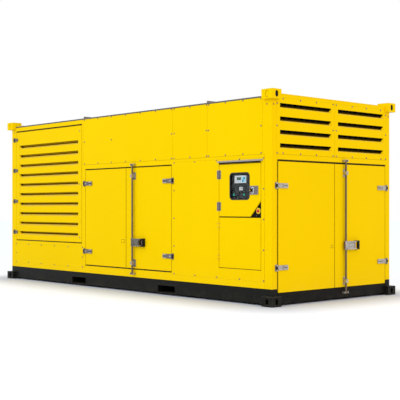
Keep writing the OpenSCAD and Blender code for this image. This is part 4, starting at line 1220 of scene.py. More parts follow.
# %% Boxes of the solids in one part
def solids(name):
    """Lowest and highest corner of each separate solid of a CAD part, the lowest solid first."""
    drawn = bmesh.new()
    drawn.from_mesh(nodes[name].data)
    bmesh.ops.remove_doubles(drawn, verts=drawn.verts, dist=0.01 * MM)
    waiting, boxes = set(drawn.verts), []
    while waiting:
        found = [waiting.pop()]
        for vert in found:
            for line in vert.link_edges:
                other = line.other_vert(vert)
                if other in waiting:
                    waiting.discard(other)
                    found.append(other)
        places = [tuple(vert.co) for vert in found]
        boxes.append((Vector(map(min, *places)), Vector(map(max, *places))))
    drawn.free()
    return sorted(boxes, key=lambda box: [round(box[0][axis], 3) for axis in (2, 0, 1)])


print(len(solids("side_hinge_brackets")), "hinge brackets on the service side")

# %% [markdown]
# A strap hinge is forged: the strap has two raised ribs towards its tip with a slot between
# them, and dark coach bolts hold it. The slot is a thin dark plate of painted shade. The relief
# could be a bump in the material, but it catches the light on its flanks, so it is drawn. All is
# measured along the strap from the hinge's pin.

# %% Parts of a strap hinge
BARREL_R, STRAP_T, LONG_STRAP = 11.0, 13.0, 150.0
PIN_OUT = -HALF_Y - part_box("side_left_straps")[0].y - BARREL_R * MM


def coach_bolt(shape, at, radius, height):
    lathe(shape, at, [(radius, 0), (radius * 0.92, height * 0.5), (radius * 0.6, height * 0.9),
                      (0, height)], steps=16)


def strap_ribs(shape, at, way, tip, high):
    """Two ribs near the tip of a strap and a raised nose at its eye; way is 1 along +u."""
    start, end = tip - 78, tip - 5
    for side in (-1, 1):
        middle = (way * (start + end) / 2, side * (high / 2 - 9))
        prism(shape, at, oblong(end - start, 12, 5, middle, 3), 0, 2.5)
    prism(shape, at, oblong(46, 15, 7, (way * 38, 0), 3), 0, 2.0)


def strap_bolts(shape, at, way, tip):
    """Two bolts behind the ribs and a smaller one between them."""
    for u, v, radius in ((tip - 92, 8, 7.0), (tip - 92, -14, 7.0), (tip - 20, 0, 6.0)):
        coach_bolt(shape, beside(at, way * u, v), radius, 3.5)


def short_strap_bolts(shape, at, way, tip):
    """One bolt over the other at the tip of a short strap."""
    for v in (-16, 16):
        coach_bolt(shape, beside(at, way * (tip - 14), v), 6.0, 3.0)


# The slot between the ribs is a thin dark plate: painted shade, not a cut.
def strap_slot_shade(shape, at, way, tip):
    prism(shape, at, oblong(44, 9, 4.4, (way * (tip - 50), 0), 3), 0, 0.6)


print("hinge pins stand", round(PIN_OUT / MM), "mm out")

# %% [markdown]
# A dark sleeve round the middle of the barrel, between the eye of the strap and the ears of its
# bracket, is painted shade for the deep shadow there, and the pin is peened over at each end.
# Both are turned round the pin, so their drawing stands upright.

# %% Shade sleeve and pin
SLEEVE_R = 11.4


def upright(x, y, z, up=1):
    """Placement whose w axis runs up or down the pin of a hinge."""
    return stand((x, y, z), (1, 0, 0), (0, 0, up))


def eye_shade_sleeve(shape, at, half):
    """Dark sleeve of painted shade round the middle of the barrel; w runs along the pin."""
    lathe(shape, at, [(0, -half), (SLEEVE_R - 0.8, -half), (SLEEVE_R, -half + 0.8),
                      (SLEEVE_R, half - 0.8), (SLEEVE_R - 0.8, half), (0, half)])


def pin_cap(shape, at):
    lathe(shape, at, [(8, 0), (8, 1.2), (5.6, 2.6), (0, 3.0)], steps=16)


def pin_of(box, wall, way):
    """Place along its wall of a strap's pin, and the distance from there to the tip in mm."""
    low, high = (corner.x if wall is on_service else corner.y for corner in box)
    pin = low + BARREL_R * MM if way > 0 else high - BARREL_R * MM
    return pin, (high - low) / MM - BARREL_R


def axle_of(wall, pin):
    """The pin's x and y on the service side or the door end."""
    return (pin, -HALF_Y - PIN_OUT) if wall is on_service else (HALF_X + PIN_OUT, pin)


print("bush", 2 * SLEEVE_R, "mm across")

# %% [markdown]
# The short straps of the louvred door have bolts and the dark sleeve of painted shade but no
# ribs. One function dresses all the straps of a leaf, on either wall, so that like hinges stay
# alike.

# %% Dress the straps of each leaf
def dress_hinges(name, strap_boxes, wall, way, body):
    """Ribs, bolts, and the painted shade of slots and eyes on the straps of one leaf."""
    ribs, bolts, dark = bmesh.new(), bmesh.new(), bmesh.new()
    for low, high in strap_boxes:
        middle_z = (low.z + high.z) / 2
        tall = (high.z - low.z) / MM
        pin, tip = pin_of((low, high), wall, way)
        at = wall(pin, middle_z, STRAP_T * MM)
        if tip > LONG_STRAP:
            strap_ribs(ribs, at, way, tip, tall)
            strap_bolts(bolts, at, way, tip)
            strap_slot_shade(dark, at, way, tip)
        else:
            short_strap_bolts(bolts, at, way, tip)
        eye_shade_sleeve(dark, upright(*axle_of(wall, pin), middle_z), tall / 2 - 10.5)
    if ribs.verts:
        finish_piece(name + "_strap_ribs", ribs, hinge_steel, body, edge=0.8)
    else:
        ribs.free()
    finish_piece(name + "_strap_bolts", bolts, dark_steel, body)
    # The sleeves and slot plates are painted shade in the rubber's dark colour.
    finish_piece(name + "_hinge_eye_shade", dark, rubber, body)


side_right_solids, end_right_solids = solids("side_right_fittings"), solids("end_right_fittings")
LEAVES = (
    ("louvre_door", solids("louvre_straps"), on_service, 1, "louvre_door"),
    ("side_left", solids("side_left_straps"), on_service, 1, "side_door_left"),
    ("side_right", [box for box in side_right_solids if box[1].x - box[0].x > 0.15],
     on_service, -1, "side_door_right"),
    ("end_left", solids("end_left_straps"), on_end, 1, "end_door_left"),
    ("end_right", [box for box in end_right_solids if box[1].y - box[0].y > 0.15],
     on_end, -1, "end_door_right"),
)
for leaf in LEAVES:
    dress_hinges(*leaf)
print(sum(len(leaf[1]) for leaf in LEAVES), "straps dressed")

# %% [markdown]
# The bracket of each hinge is screwed to the post with two round heads, and its pin shows a cap
# above and below. They stay on the post when the leaf swings, so they are one piece together.

# %% Bracket screws and pin caps
PLATE_PROUD = 4 * MM
LOUVRE_TALL, STRAP_TALL = 0.068, 0.077
caps = bmesh.new()
for name, straps, wall, way, _ in LEAVES:
    tall = LOUVRE_TALL if name == "louvre_door" else STRAP_TALL
    for low, high in straps:
        pin, z = pin_of((low, high), wall, way)[0], (low.z + high.z) / 2
        for v in (-0.33 * tall / MM, 0.33 * tall / MM):
            screw = beside(wall(pin, z, PLATE_PROUD), -way * 17.5, v)
            coach_bolt(caps, screw, 4.6, 2.2)
        for up in (1, -1):
            pin_cap(caps, upright(*axle_of(wall, pin), z + up * tall / 2, up))
finish_piece("hinge_screws_and_caps", caps, bolt_steel)
print("brackets screwed on")

# %% [markdown]
# Each double door is held by a rod lock. The rod runs through guides bolted to the leaf, each
# with a bright cover on its wing and two bands folded round the front of its block. Cover and
# bands are plated parts, and their bright zinc is also a painted highlight where the guide
# catches the light at top and bottom. The bands could be a change of colour on the block, but
# their edges stand out and catch the light.

# %% Guides of the rods
ROD_R, ROD_OUT, GUIDE_SHIFT = 13.0, 34.0, 9.0
WING, WING_RIGHT, BLOCK_HALF, BLOCK_FRONT = 6.0, 21.0, 20.0, 54.0
COVER_T, BAND_T, BAND_HIGH = 1.5, 1.2, 17.0


def guide_bolts(shape, at):
    """Two bolts on the wing of a guide; the origin is the middle of the guide on the leaf."""
    for v in (-32, 32):
        flange_bolt(shape, beside(at, 11, v, WING + COVER_T), 12, 9, 6.5)


def guide_highlight_bands(shape, at):
    """Bright cover on the wing, and two bands round the front of the block, also painted
    highlights.
    """
    prism(shape, at, oblong(21, 94, 3, (11.7, 0), 3), WING, WING + COVER_T)
    near, far = -WING_RIGHT - BLOCK_HALF, -WING_RIGHT + BLOCK_HALF
    for low in (-22, 5):
        high = low + BAND_HIGH
        prism(shape, at, slab(near - BAND_T, low, far + BAND_T, high), BLOCK_FRONT,
              BLOCK_FRONT + BAND_T)
        for u in (near - BAND_T, far):
            prism(shape, at, slab(u, low, u + BAND_T, high), WING + 2, BLOCK_FRONT)


print("rod", 2 * ROD_R, "mm across")

# %% [markdown]
# The ends of the rod are domed. The handle is a pressed plate with a dished front: a raised
# paddle lies in it, with a rivet at each side, and the collar bolts on the rod stand above and
# below. Two thin dark plates are painted shade: the shadow under the dish's top rim, and a
# finger slot under the paddle. The slots could be cut, but the CAD mesh is left as it is, and
# thin dark plates look like openings from a step away.

# %% Rod ends and handle face
DISH, HANDLE_FRONT = 6.0, 17.0
RIVET = [(6.5, 0), (6.5, 2), (4, 4), (0, 4.4)]
COLLAR_BOLT = [(7, 0), (7, 6), (5, 7.4), (0, 7.8)]


def rod_dome(shape, at):
    lathe(shape, at, [(ROD_R - 1.6, 0), (ROD_R - 4, 2.2), (ROD_R - 8, 3.4), (0, 3.8)])


def handle_face(bright, dark, at, reach):
    """Paddle, painted shade of the rim and finger slot, rivets and collar bolts; w = 0 is the floor
    of the dish.
    """
    left, right = ROD_R + 22, reach - 14
    middle, wide = (left + right) / 2, right - left
    prism(bright, at, oblong(wide - 14, 34, 9, (middle, 4)), 0, 3.6)
    prism(bright, at, oblong(wide - 34, 14, 5, (middle - 4, 5), 3), 3.5, 5.2)
    for side in (-1, 1):
        rivet = beside(at, middle + side * (wide / 2 - 14), -24)
        lathe(bright, rivet, RIVET, steps=14)
    # Painted shade: the shadow under the dish's top rim, and the finger slot below the paddle.
    prism(dark, at, oblong(wide - 12, 8, 3.6, (middle, 30), 3), 0, 1.2)
    prism(dark, at, oblong(wide - 20, 4, 1.8, (middle, -15), 3), 0, 1.2)
    for v in (-44, 44):
        lathe(dark, beside(at, 0, v, DISH - 2), COLLAR_BOLT, steps=14)


print("handle dish", DISH, "mm deep")

# %% [markdown]
# Both locks have the same parts, so one function dresses either of them. What is bolted to the
# leaf rides on the leaf, and what turns rides on the lock. The service side's lock is a greyer
# copy, as painted shade.

# %% Both rod locks
HANDLE_Z = sum(v.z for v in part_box("side_catch")) / 2
side_rod_x = sum(v.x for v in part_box("side_rod")) / 2
end_rod_y = sum(v.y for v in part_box("end_rod")) / 2
ARM = 28.0


def dress_lock(side, wall, along, rod_at, steel, face):
    """All added details of one rod lock; along is the axis that runs along its wall."""
    leaf, lock = side + "_door_right", side + "_lock"
    bolts, clamps = bmesh.new(), bmesh.new()
    for low, high in side_right_solids if wall is on_service else end_right_solids:
        start, end = getattr(low, along), getattr(high, along)
        if end - start < 0.1:
            at = wall((start + end) / 2 + GUIDE_SHIFT * MM, (low.z + high.z) / 2)
            guide_bolts(bolts, at)
            guide_highlight_bands(clamps, at)
    finish_piece(side + "_guide_bolts", bolts, steel, leaf)
    finish_piece(side + "_guide_highlight_bands", clamps, hinge_steel, leaf)

    rod_low, rod_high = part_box(side + "_rod")
    out = ROD_OUT * MM
    x, y = (rod_at, -HALF_Y - out) if wall is on_service else (HALF_X + out, rod_at)
    ends = bmesh.new()
    rod_dome(ends, upright(x, y, rod_high.z, 1))
    rod_dome(ends, upright(x, y, rod_low.z, -1))
    finish_piece(side + "_rod_ends", ends, steel, lock)

    bright, dark = bmesh.new(), bmesh.new()
    reach = (getattr(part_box(side + "_handle")[1], along) - rod_at) / MM - ARM
    at = wall(rod_at, HANDLE_Z, (ROD_OUT + HANDLE_FRONT - DISH) * MM)
    handle_face(bright, dark, at, reach)
    finish_piece(side + "_handle_paddle", bright, face, lock, edge=0.8)
    finish_piece(side + "_handle_shade_lines", dark, dark_steel, lock)
    print(side, "handle reaches", round(reach), "mm from its rod")


dress_lock("side", on_service, "x", side_rod_x, shaded_service_steel, shaded_handle_steel)
dress_lock("end", on_end, "y", end_rod_y, hinge_steel, hinge_steel)

# %% [markdown]
# The handle's tip drops into a staple. On the service side a dark wear plate with a bolt lies on
# the leaf inside the staple, and both staples are bolted to their leaf through their cheeks. Low
# domed heads do for those, as hexagons this small would look round too.

# %% Staples
STAPLE_PROUD = (ROD_OUT + ROD_R) * MM
staple_low, staple_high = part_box("side_catch")
wide = (staple_high.x - staple_low.x) / MM
at = on_service(staple_low.x, HANDLE_Z)
shape = bmesh.new()
prism(shape, at, oblong(wide + 41, 78, 4, (wide / 2 - 50.5, 0), 3), 0, 3)
finish_piece("side_wear_plate", shape, catch_paint, "side_door_right", edge=0.8)

for side, wall, along in (("side", on_service, "x"), ("end", on_end, "y")):
    shape = bmesh.new()
    if side == "side":
        flange_bolt(shape, beside(at, -12, 6, 3), flange=9)
    low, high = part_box(side + "_catch")
    cheek, bar = getattr(low, along) + 12 * MM, getattr(high, along) - 13 * MM
    for across, v, radius, height in ((cheek, 48, 4.5, 2.4), (bar, 30, 6.5, 3.0)):
        for up in (-v, v):
            coach_bolt(shape, wall(across, HANDLE_Z + up * MM, STAPLE_PROUD), radius, height)
    finish_piece(side + "_catch_bolts", shape, dark_steel, side + "_door_right")
print("staples bolted on")

# %% [markdown]
# The door end's staple has a painted strike plate on its inner side, and its handle a hub round
# the rod. The service side's staple carries a small eye for a padlock. Each is a piece of its
# own, because the hub turns with the lock and the other two swing with their leaves.

# %% Strike plate, hub and padlock eye
shape = bmesh.new()
strike = stand((HALF_X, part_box("end_catch")[0].y - 0.4 * MM, HANDLE_Z), (1, 0, 0), (0, -1, 0))
prism(shape, strike, slab(2, -40, 43, 40), 0, 1)
finish_piece("end_strike_plate", shape, frame_paint, "end_door_right")
shape = bmesh.new()
prism(shape, on_end(end_rod_y, HANDLE_Z, ROD_OUT * MM), oblong(17, 112, 4, (-ROD_R - 8, 0)), -9, 7)
finish_piece("end_handle_hub", shape, bolt_steel, "end_lock", edge=1.0)
shape = bmesh.new()
padlock = on_service(staple_high.x - 26 * MM, HANDLE_Z, STAPLE_PROUD)
lathe(shape, padlock, [(7, 0), (7, 2), (4.5, 3.5), (0, 3.8)], steps=14)
prism(shape, padlock, oblong(9, 52, 4, steps=3), 0, 3.2)
finish_piece("side_padlock_eye", shape, bolt_steel, "side_door_right", edge=0.5)
print("handles at", round(HANDLE_Z, 3), "m above the ground")

# %% [markdown]
# The control panel is read through a window in its door, and a rubber moulding holds the pane.
# The moulding is two rims, one that lies on the door's face and one behind it, down to the pane.

# %% Window moulding
glass_low, glass_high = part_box("control_glass")
WINDOW = (glass_low + glass_high) / 2
WINDOW_W, WINDOW_H = (glass_high.x - glass_low.x) / MM, (glass_high.z - glass_low.z) / MM
PANE_FRONT, WINDOW_R = (-HALF_Y - glass_low.y) / MM, 48


def window_line(grow):
    """Outline of the window, grown on every side."""
    return oblong(WINDOW_W + 2 * grow, WINDOW_H + 2 * grow, WINDOW_R + grow, steps=8)


shape = bmesh.new()
at = on_service(WINDOW.x, WINDOW.z)
rim(shape, at, window_line(2), window_line(-13), 0, 3.2)
rim(shape, at, window_line(-0.4), window_line(-13), PANE_FRONT + 0.2, 0)
finish_piece("window_moulding", shape, rubber, "control_door", edge=0.8)
print("window", round(WINDOW_W), "x", round(WINDOW_H), "mm")

# %% [markdown]
# The panel's face is worth drawing, since it is what a buyer looks at first: a display with a
# grey-green screen, a row of lamps beside and under it and a blue keypad. Each is a raised plate
# of its own colour; a picture on the panel would be quicker, but it would blur close by. There
# is no lettering on them.

# %% Display
screen_green = make_moulded("screen green", (70, 98, 78), 0.3, 200.0, 0.03, drift=0.1)
key_blue = make_moulded("key blue", (44, 156, 200), strength=0.05, drift=0.1)
key_pale = make_moulded("key pale", (164, 220, 232), strength=0.05, drift=0.08)
lamp_red = make_moulded("lamp red", (222, 146, 126), strength=0.05)
lamp_sand = make_moulded("lamp sand", (214, 202, 150), strength=0.05)
lamp_blue = make_moulded("lamp blue", (104, 124, 180), strength=0.05)

show_low, show_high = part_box("panel_display")
SHOW_W, SHOW_H = (show_high.x - show_low.x) / MM, (show_high.z - show_low.z) / MM
SCREEN = (-25, 7)
show = (show_low + show_high) / 2
on_show = on_service(show.x, show.z, -HALF_Y - show_low.y)

shape = bmesh.new()
rim(shape, on_show, oblong(SHOW_W, SHOW_H, 5), oblong(SHOW_W - 10, SHOW_H - 10, 3), 0, 1.6)
rim(shape, on_show, oblong(85, 48, 5, SCREEN), oblong(75, 38, 2, SCREEN), 0, 1.4)
finish_piece("display_frame", shape, display_white, edge=0.4)
for name, material, plates in (
        ("screen", screen_green, [(74, 37, 2, SCREEN, 0.6)]),
        ("keypad", key_pale, [(66, 69, 6, (57, -2), 0.8)]),
        ("keys", key_blue, [(27, 27, 6, (68, 14), 2.0), (25, 25, 5, (42, -21), 2.0),
                            (15, 15, 7, (54, -3), 2.2)]),
        ("lamps_blue", lamp_blue, [(13, 13, 6, (-37, -31), 1.4), (13, 13, 6, (-3, -33), 1.4),
                                   (18, 9, 3, (-81, -7), 1.0)]),
        ("lamp_red", lamp_red, [(20, 11, 4, (-81, -29), 1.2)]),
        ("lamp_sand", lamp_sand, [(20, 12, 4, (-81, 18), 1.2)])):
    shape = bmesh.new()
    for wide, high, radius, centre, proud in plates:
        prism(shape, on_show, oblong(wide, high, radius, centre), 0, proud)
    finish_piece("display_" + name, shape, material, edge=0.3)
print("display", round(SHOW_W), "x", round(SHOW_H), "mm")

# %% [markdown]
# Below the display are four white keys on a grey base and a row of three buttons, each a soft
# cap in a turned collar. The CAD has plain discs for the buttons, and the caps replace them.

# %% Keys and buttons
panel_low, panel_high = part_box("control_panel")
panel_face = -HALF_Y - panel_low.y
on_panel = on_service(WINDOW.x, WINDOW.z, panel_face)
PAD_U, PAD_V, KEY_U, KEY_V = -1, -30, 16, 11
BUTTON_U, BUTTON_V, BUTTON_PITCH = -39, -104, 88

shape = bmesh.new()
prism(shape, on_panel, oblong(66, 46, 6, (PAD_U, PAD_V)), 0, 2.0)
finish_piece("keypad_base", shape, button_grey, edge=0.6)
shape = bmesh.new()
for u in (PAD_U - KEY_U, PAD_U + KEY_U):
    for v in (PAD_V - KEY_V, PAD_V + KEY_V):
        prism(shape, on_panel, oblong(29, 19, 5, (u, v)), 1.9, 4.4)
finish_piece("keypad_keys", shape, pad_white, edge=0.8)

teal, grey, collars = bmesh.new(), bmesh.new(), bmesh.new()
for i, cap in ((-1, teal), (0, grey), (1, teal)):
    at = beside(on_panel, BUTTON_U + i * BUTTON_PITCH, BUTTON_V)
    ring_of(collars, at, [(20, 0), (20, 1.6), (18.6, 2.6), (16.6, 2.6), (16.6, 0)])
    prism(cap, at, oblong(33, 30, 10, steps=5), 0, 3.6)
    prism(cap, at, oblong(24, 21, 7, steps=5), 3.5, 4.6)
caps = finish_piece("button_caps", teal, button_teal, edge=0.6)
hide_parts("panel_buttons")
finish_piece("button_cap_middle", grey, knob_plastic, edge=0.6)
finish_piece("button_collars", collars, panel_plastic)

shape = bmesh.new()
for x in (panel_low.x + 42 * MM, panel_high.x - 42 * MM):
    for z in (panel_high.z - 40 * MM, (WINDOW.z + panel_low.z) / 2 + 60 * MM, WINDOW.z):
        button_screw(shape, on_service(x, z, panel_face), radius=6.5, height=3.0)
finish_piece("panel_screws", shape, bolt_steel)
print("control panel drawn")

# %% [markdown]
# Right of the window sits a recessed latch: a pale cup with a dark paddle bar across it and the
# black knob at its side, with a yellow plug in the knob's face. The plate cannot be cut, since
# its mesh is not to be changed, so a raised rim round the paddle makes the recess.

# %% Latch
plate_low, plate_high = max(solids("control_fittings"), key=lambda box: box[1].x - box[0].x)
plate = (plate_low + plate_high) / 2
PLATE_W, PLATE_H = (plate_high.x - plate_low.x) / MM, (plate_high.z - plate_low.z) / MM
on_plate = on_service(plate.x, plate.z, -HALF_Y - plate_low.y)
knob_low, knob_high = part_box("control_knob")
KNOB_U = ((knob_low.x + knob_high.x) / 2 - plate.x) / MM
CUP_U = KNOB_U + 22
PADDLE_U = CUP_U - 3

shape = bmesh.new()
rim(shape, on_plate, oblong(PLATE_W - 3, PLATE_H - 3, 6), oblong(PLATE_W - 12, PLATE_H - 12, 4),
    0, 1.5)
for u in (-52, 64):
    for v in (-42, 42):
        button_screw(shape, beside(on_plate, u, v), radius=4.5, height=2.2)
finish_piece("latch_frame", shape, shaded_service_steel, "control_door", edge=0.5)
shape = bmesh.new()
cup_line, paddle_line = oblong(36, 84, 16, (CUP_U, 0), 6), oblong(16, 62, 7.5, (PADDLE_U, 0), 6)
rim(shape, on_plate, cup_line, paddle_line, 0, 2.6)
finish_piece("latch_cup", shape, pad_white, "control_door", edge=0.8)
shape = bmesh.new()
prism(shape, on_plate, oblong(15, 60, 7, (PADDLE_U, 0)), 0, 1.2)
finish_piece("latch_paddle", shape, rubber, "control_door", edge=0.6)
shape = bmesh.new()
lathe(shape, on_service(plate.x + KNOB_U * MM, plate.z, -HALF_Y - knob_low.y),
      [(7.0, 0), (7.0, 0.6), (5.5, 1.4), (0, 1.6)], steps=18)
finish_piece("knob_plug", shape, ring_yellow, "control_knob")
print("latch plate", round(PLATE_W), "x", round(PLATE_H), "mm")

# %% [markdown]
# The emergency stop sits on a black corner plate. Its red mushroom is the CAD's own part; a
# turned yellow ring round it, which stays when it is pushed, and a small screw are added.

# %% Emergency stop
stop_low, stop_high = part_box("stop_button")
STOP = (stop_low + stop_high) / 2
RING_OUTER, RING_INNER, RING_T = 36.0, 13.5, 6.0
on_ring = on_service(STOP.x, STOP.z, -HALF_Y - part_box("stop_plate")[0].y)
shape = bmesh.new()
ring_of(shape, on_ring, [(RING_OUTER + 0.6, -RING_T + 0.1), (RING_OUTER + 0.6, 0.2),
                         (RING_OUTER - 2, 1.4), (RING_INNER + 1.5, 1.4), (RING_INNER, 0.4),
                         (RING_INNER, -RING_T + 0.1)])
finish_piece("stop_ring", shape, ring_yellow)
shape = bmesh.new()
button_screw(shape, beside(on_ring, -38, -58, -RING_T), radius=7.5, height=3.5)
finish_piece("stop_plate_screw", shape, bolt_steel)
print("stop ring", 2 * RING_OUTER, "mm across")

# %% [markdown]
# The small hinges of the two hatches are butt hinges: each leaf is screwed on, and the ends of
# the knuckle show the pin. The screws of one leaf stay, and those of the other swing, so they
# are drawn into different pieces.

# %% Hatch hinge screws
LEAF_T = 3 * MM
HATCH_PIN = (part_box("access_hinges")[0].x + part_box("front_wall")[1].x) / 2


def leaf_screws(shape, hinge, aside, count):
    """Screws in a row down one leaf of a hatch hinge, aside of its pin in mm."""
    low, high = hinge
    for k in range(count):
        z = low.z + (high.z - low.z) * ((k + 0.5) / count)
        button_screw(shape, on_service(HATCH_PIN + aside * MM, z, LEAF_T), radius=4.6, height=2.2)


control_leaves = [box for box in solids("control_fittings") if box[1].x - box[0].x < 0.1]
access_leaves = solids("access_hinges")
fixed, swinging, access = bmesh.new(), bmesh.new(), bmesh.new()
for hinge in control_leaves:
    leaf_screws(fixed, hinge, -22, 3)
    leaf_screws(swinging, hinge, 22, 3)
for hinge in access_leaves:
    leaf_screws(fixed, hinge, -20, 2)
    leaf_screws(access, hinge, 9.5, 2)
finish_piece("hatch_hinge_screws", fixed, dark_steel)
finish_piece("control_hinge_screws", swinging, dark_steel, "control_door")
finish_piece("access_hinge_screws", access, dark_steel, "access_door")
print(len(control_leaves) + len(access_leaves), "hatch hinges screwed on")

# %% [markdown]
# Fixed panels butt against each other with a line of sealant in the joint. A dark line also
# runs under the roof edge, where the sheets lie on the wall. A seam could be cut as a groove,
# but real sealant fills it and stands out a little. The far sides repeat the lines.

# %% Sealant lines
sealant = make_moulded("sealant", (150, 112, 12), 0.6, 200.0, 0.1, specular=0.1)
dark_sealant = make_moulded("dark sealant", (70, 62, 52), 0.6, 200.0, 0.1, specular=0.1)
ROOF_EDGE_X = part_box("roof_sheets")[1].x
waist_high, wall_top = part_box("waist_rails")[1].z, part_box("corner_posts")[1].z
HALF_LINE, END_HALF_SPAN = 1.2, 1085


def line_on(shape, at, half_length, half_height, proud):
    """A flat line of sealant, level, to both sides of the placement's origin."""
    prism(shape, at, slab(-half_length, -half_height, half_length, half_height), 0, proud)


shape = bmesh.new()
middle = (upper_low_x + upper_high_x) / 2
half_run = (upper_high_x - upper_low_x) / 2 / MM - 2
for wall, along, half in ((on_service, middle, half_run), (on_rear, middle, half_run),
                          (on_end, 0, END_HALF_SPAN), (on_far_end, 0, END_HALF_SPAN)):
    line_on(shape, wall(along, waist_high), half, HALF_LINE, 0.5)
for low, high in (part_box("front_wall"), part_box("front_upper_mid")):
    for x in (low.x, high.x):
        prism(shape, on_rear(x, 0), slab(-HALF_LINE, low.z / MM, HALF_LINE, high.z / MM), 0, 0.5)
finish_piece("sealant_lines", shape, sealant)
shape = bmesh.new()
for wall in (on_service, on_rear):
    line_on(shape, wall(0, wall_top + 1 * MM), ROOF_EDGE_X / MM - 2, 2.5, 0.8)
finish_piece("roof_edge_sealant", shape, dark_sealant)
print("sealed joints at", round(waist_high, 3), "m")

# %% [markdown]
# The louvred door is held by quarter-turn fasteners down its right edge and has a small blank
# cover plate between them. Its sheet is folded on the long edges, so a fine crease runs down
# beside the slots; a low narrow strip shows the crease without a change to the CAD mesh.

# %% Louvre door fittings
FASTENER_X = louvre_high.x - 54 * MM
FASTENER_HEIGHTS, COVER_HEIGHT = (2.340, 1.537, 0.725), 0.980
shape = bmesh.new()
for z in FASTENER_HEIGHTS:
    at = on_service(FASTENER_X, z)
    lathe(shape, at, [(11, 0), (11, 1.5), (9, 3), (0, 3.2)], steps=18)
    prism(shape, at, oblong(14, 3, 1.4), 3.0, 4.4)
finish_piece("quarter_turns", shape, bolt_steel, "louvre_door", edge=0.3)
shape = bmesh.new()
prism(shape, on_service(FASTENER_X, COVER_HEIGHT), oblong(46, 46, 5), 0, 1.5)
for u in (louvre_low.x / MM + 88, louvre_high.x / MM - 14):
    prism(shape, on_service(0, 0),
          slab(u - 1.5, louvre_low.z / MM + 4, u + 1.5, louvre_high.z / MM - 4), 0, 0.7)
finish_piece("louvre_door_trim", shape, frame_paint, "louvre_door", edge=0.3)
print("fasteners at x", round(FASTENER_X, 3))

# %% [markdown]
# A slot's ends are not cut square: a small plate slants in from each end to the sill, painted
# with the sheet, so every slot narrows to its foot. The CAD has square slots, so three-cornered
# plates inside them give the slant.

# %% Slot ends
SLOT_H, SLOT_RISE, END_RUN, END_T = 58.0, math.tan(math.radians(35)), 24.0, 3.0


def slot_ends(shape, at, u0, u1, sills, count):
    """Slanting end plates of a row of slots between u0 and u1, over evenly spread sills."""
    lowest, highest = sills
    for i in range(count):
        sill = lowest + i * (highest - lowest) / (count - 1)
        for u, inwards in ((u0, 1), (u1, -1)):
            front = [(u, sill + 0.6, -0.6), (u, sill + SLOT_H - 4, -0.6),
                     (u + inwards * END_RUN, sill + END_RUN * SLOT_RISE + 0.4, -END_RUN)]
            back = [(a, b if a == u else b + 2, c - END_T) for a, b, c in front]
            near, far = draw_loop(shape, at, front), draw_loop(shape, at, back)
            shape.faces.new(near)
            shape.faces.new(far[::-1])
            for k, j in ((0, 1), (1, 2), (2, 0)):
                shape.faces.new((near[k], far[k], far[j], near[j]))


def sills_of(low, high, below, above):
    """Sill heights of the lowest and highest slot of a louvred panel, in millimetres."""
    return low.z / MM + below, high.z / MM - above - SLOT_H


shape = bmesh.new()
slot_ends(shape, on_service(0, 0), louvre_low.x / MM + 92, louvre_high.x / MM - 92,
          sills_of(louvre_low, louvre_high, below=80, above=221), count=10)
finish_piece("louvre_door_slot_ends", shape, frame_paint, "louvre_door")
shape = bmesh.new()
inner, outer = 66.0, end_high.y / MM - 66
for wall in (on_end, on_far_end):
    for u0, u1 in ((-outer, -inner), (inner, outer)):
        slot_ends(shape, wall(0, 0), u0, u1, sills_of(end_low, end_high, 71, 71), count=4)
finish_piece("end_slot_ends", shape, frame_paint)
print("slot ends", round(END_RUN), "mm deep")

# %% [markdown]
# Each left leaf has a small blank plate near its meeting edge, with a thin dark rim round it.
# The plate alone would seem painted on; the dark rim is painted shade along its edge and sets it
# off from the leaf.

# %% Leaf plates
for name, at, wide, high, body in (
        ("leaf_plate", on_service(0.0735, 0.704), 79, 50, "side_door_left"),
        ("end_leaf_plate", on_end(-0.053, 0.686), 44, 38, "end_door_left")):
    shape = bmesh.new()
    prism(shape, at, oblong(wide - 9, high - 9, 3), 0, 1.5)
    finish_piece(name, shape, frame_paint, body, edge=0.3)
    shape = bmesh.new()
    # A thin dark rim of painted shade round the plate.
    rim(shape, at, oblong(wide, high, 4), oblong(wide - 10, high - 10, 3), 0, 0.8)
    finish_piece(name + "_edge_shade", shape, sealant, body)
    print(name, wide, "x", high, "mm")

# %% [markdown]
# Corner castings are hollow, with an oblong hole in each outer face. The upper ones are closed
# with bungs: painted over on the long sides, and black on the ends, where the black stands in
# for the shade inside the hole. The bungs sit a little way inside the holes, as real ones do, so
# the rim of the casting still throws a shadow.

# %% Bungs of the corner castings
HOLE_L, HOLE_W = 79.0, 51.0


def bung(shape, at, slack, radius):
    """A flat plug inside a casting's hole, smaller than the hole by its slack."""
    prism(shape, at, oblong(HOLE_W - slack, HOLE_L - slack, radius, steps=8), -14, -5)


painted, shade_bungs = bmesh.new(), bmesh.new()
for low, high in solids("castings_top"):
    middle = (low + high) / 2
    long_wall = on_service if middle.y < 0 else on_rear
    end_wall = on_end if middle.x > 0 else on_far_end
    out_x, out_y = max(high.x, -low.x), max(high.y, -low.y)
    bung(painted, long_wall(middle.x, middle.z, out_y - HALF_Y), slack=11, radius=19)
    # The black bungs on the ends are painted shade of the hollow casting.
    bung(shade_bungs, end_wall(middle.y, middle.z, out_x - HALF_X), slack=1, radius=24)
finish_piece("casting_bungs_painted", painted, frame_paint, edge=1.0)
finish_piece("casting_bungs", shade_bungs, plate_black, edge=1.0)
print("eight holes closed")

# %% [markdown]
# A fillet weld joins each casting to its post. A round bead half sunk in the joint looks the
# same as a weld from outside, and needs no joining of meshes.

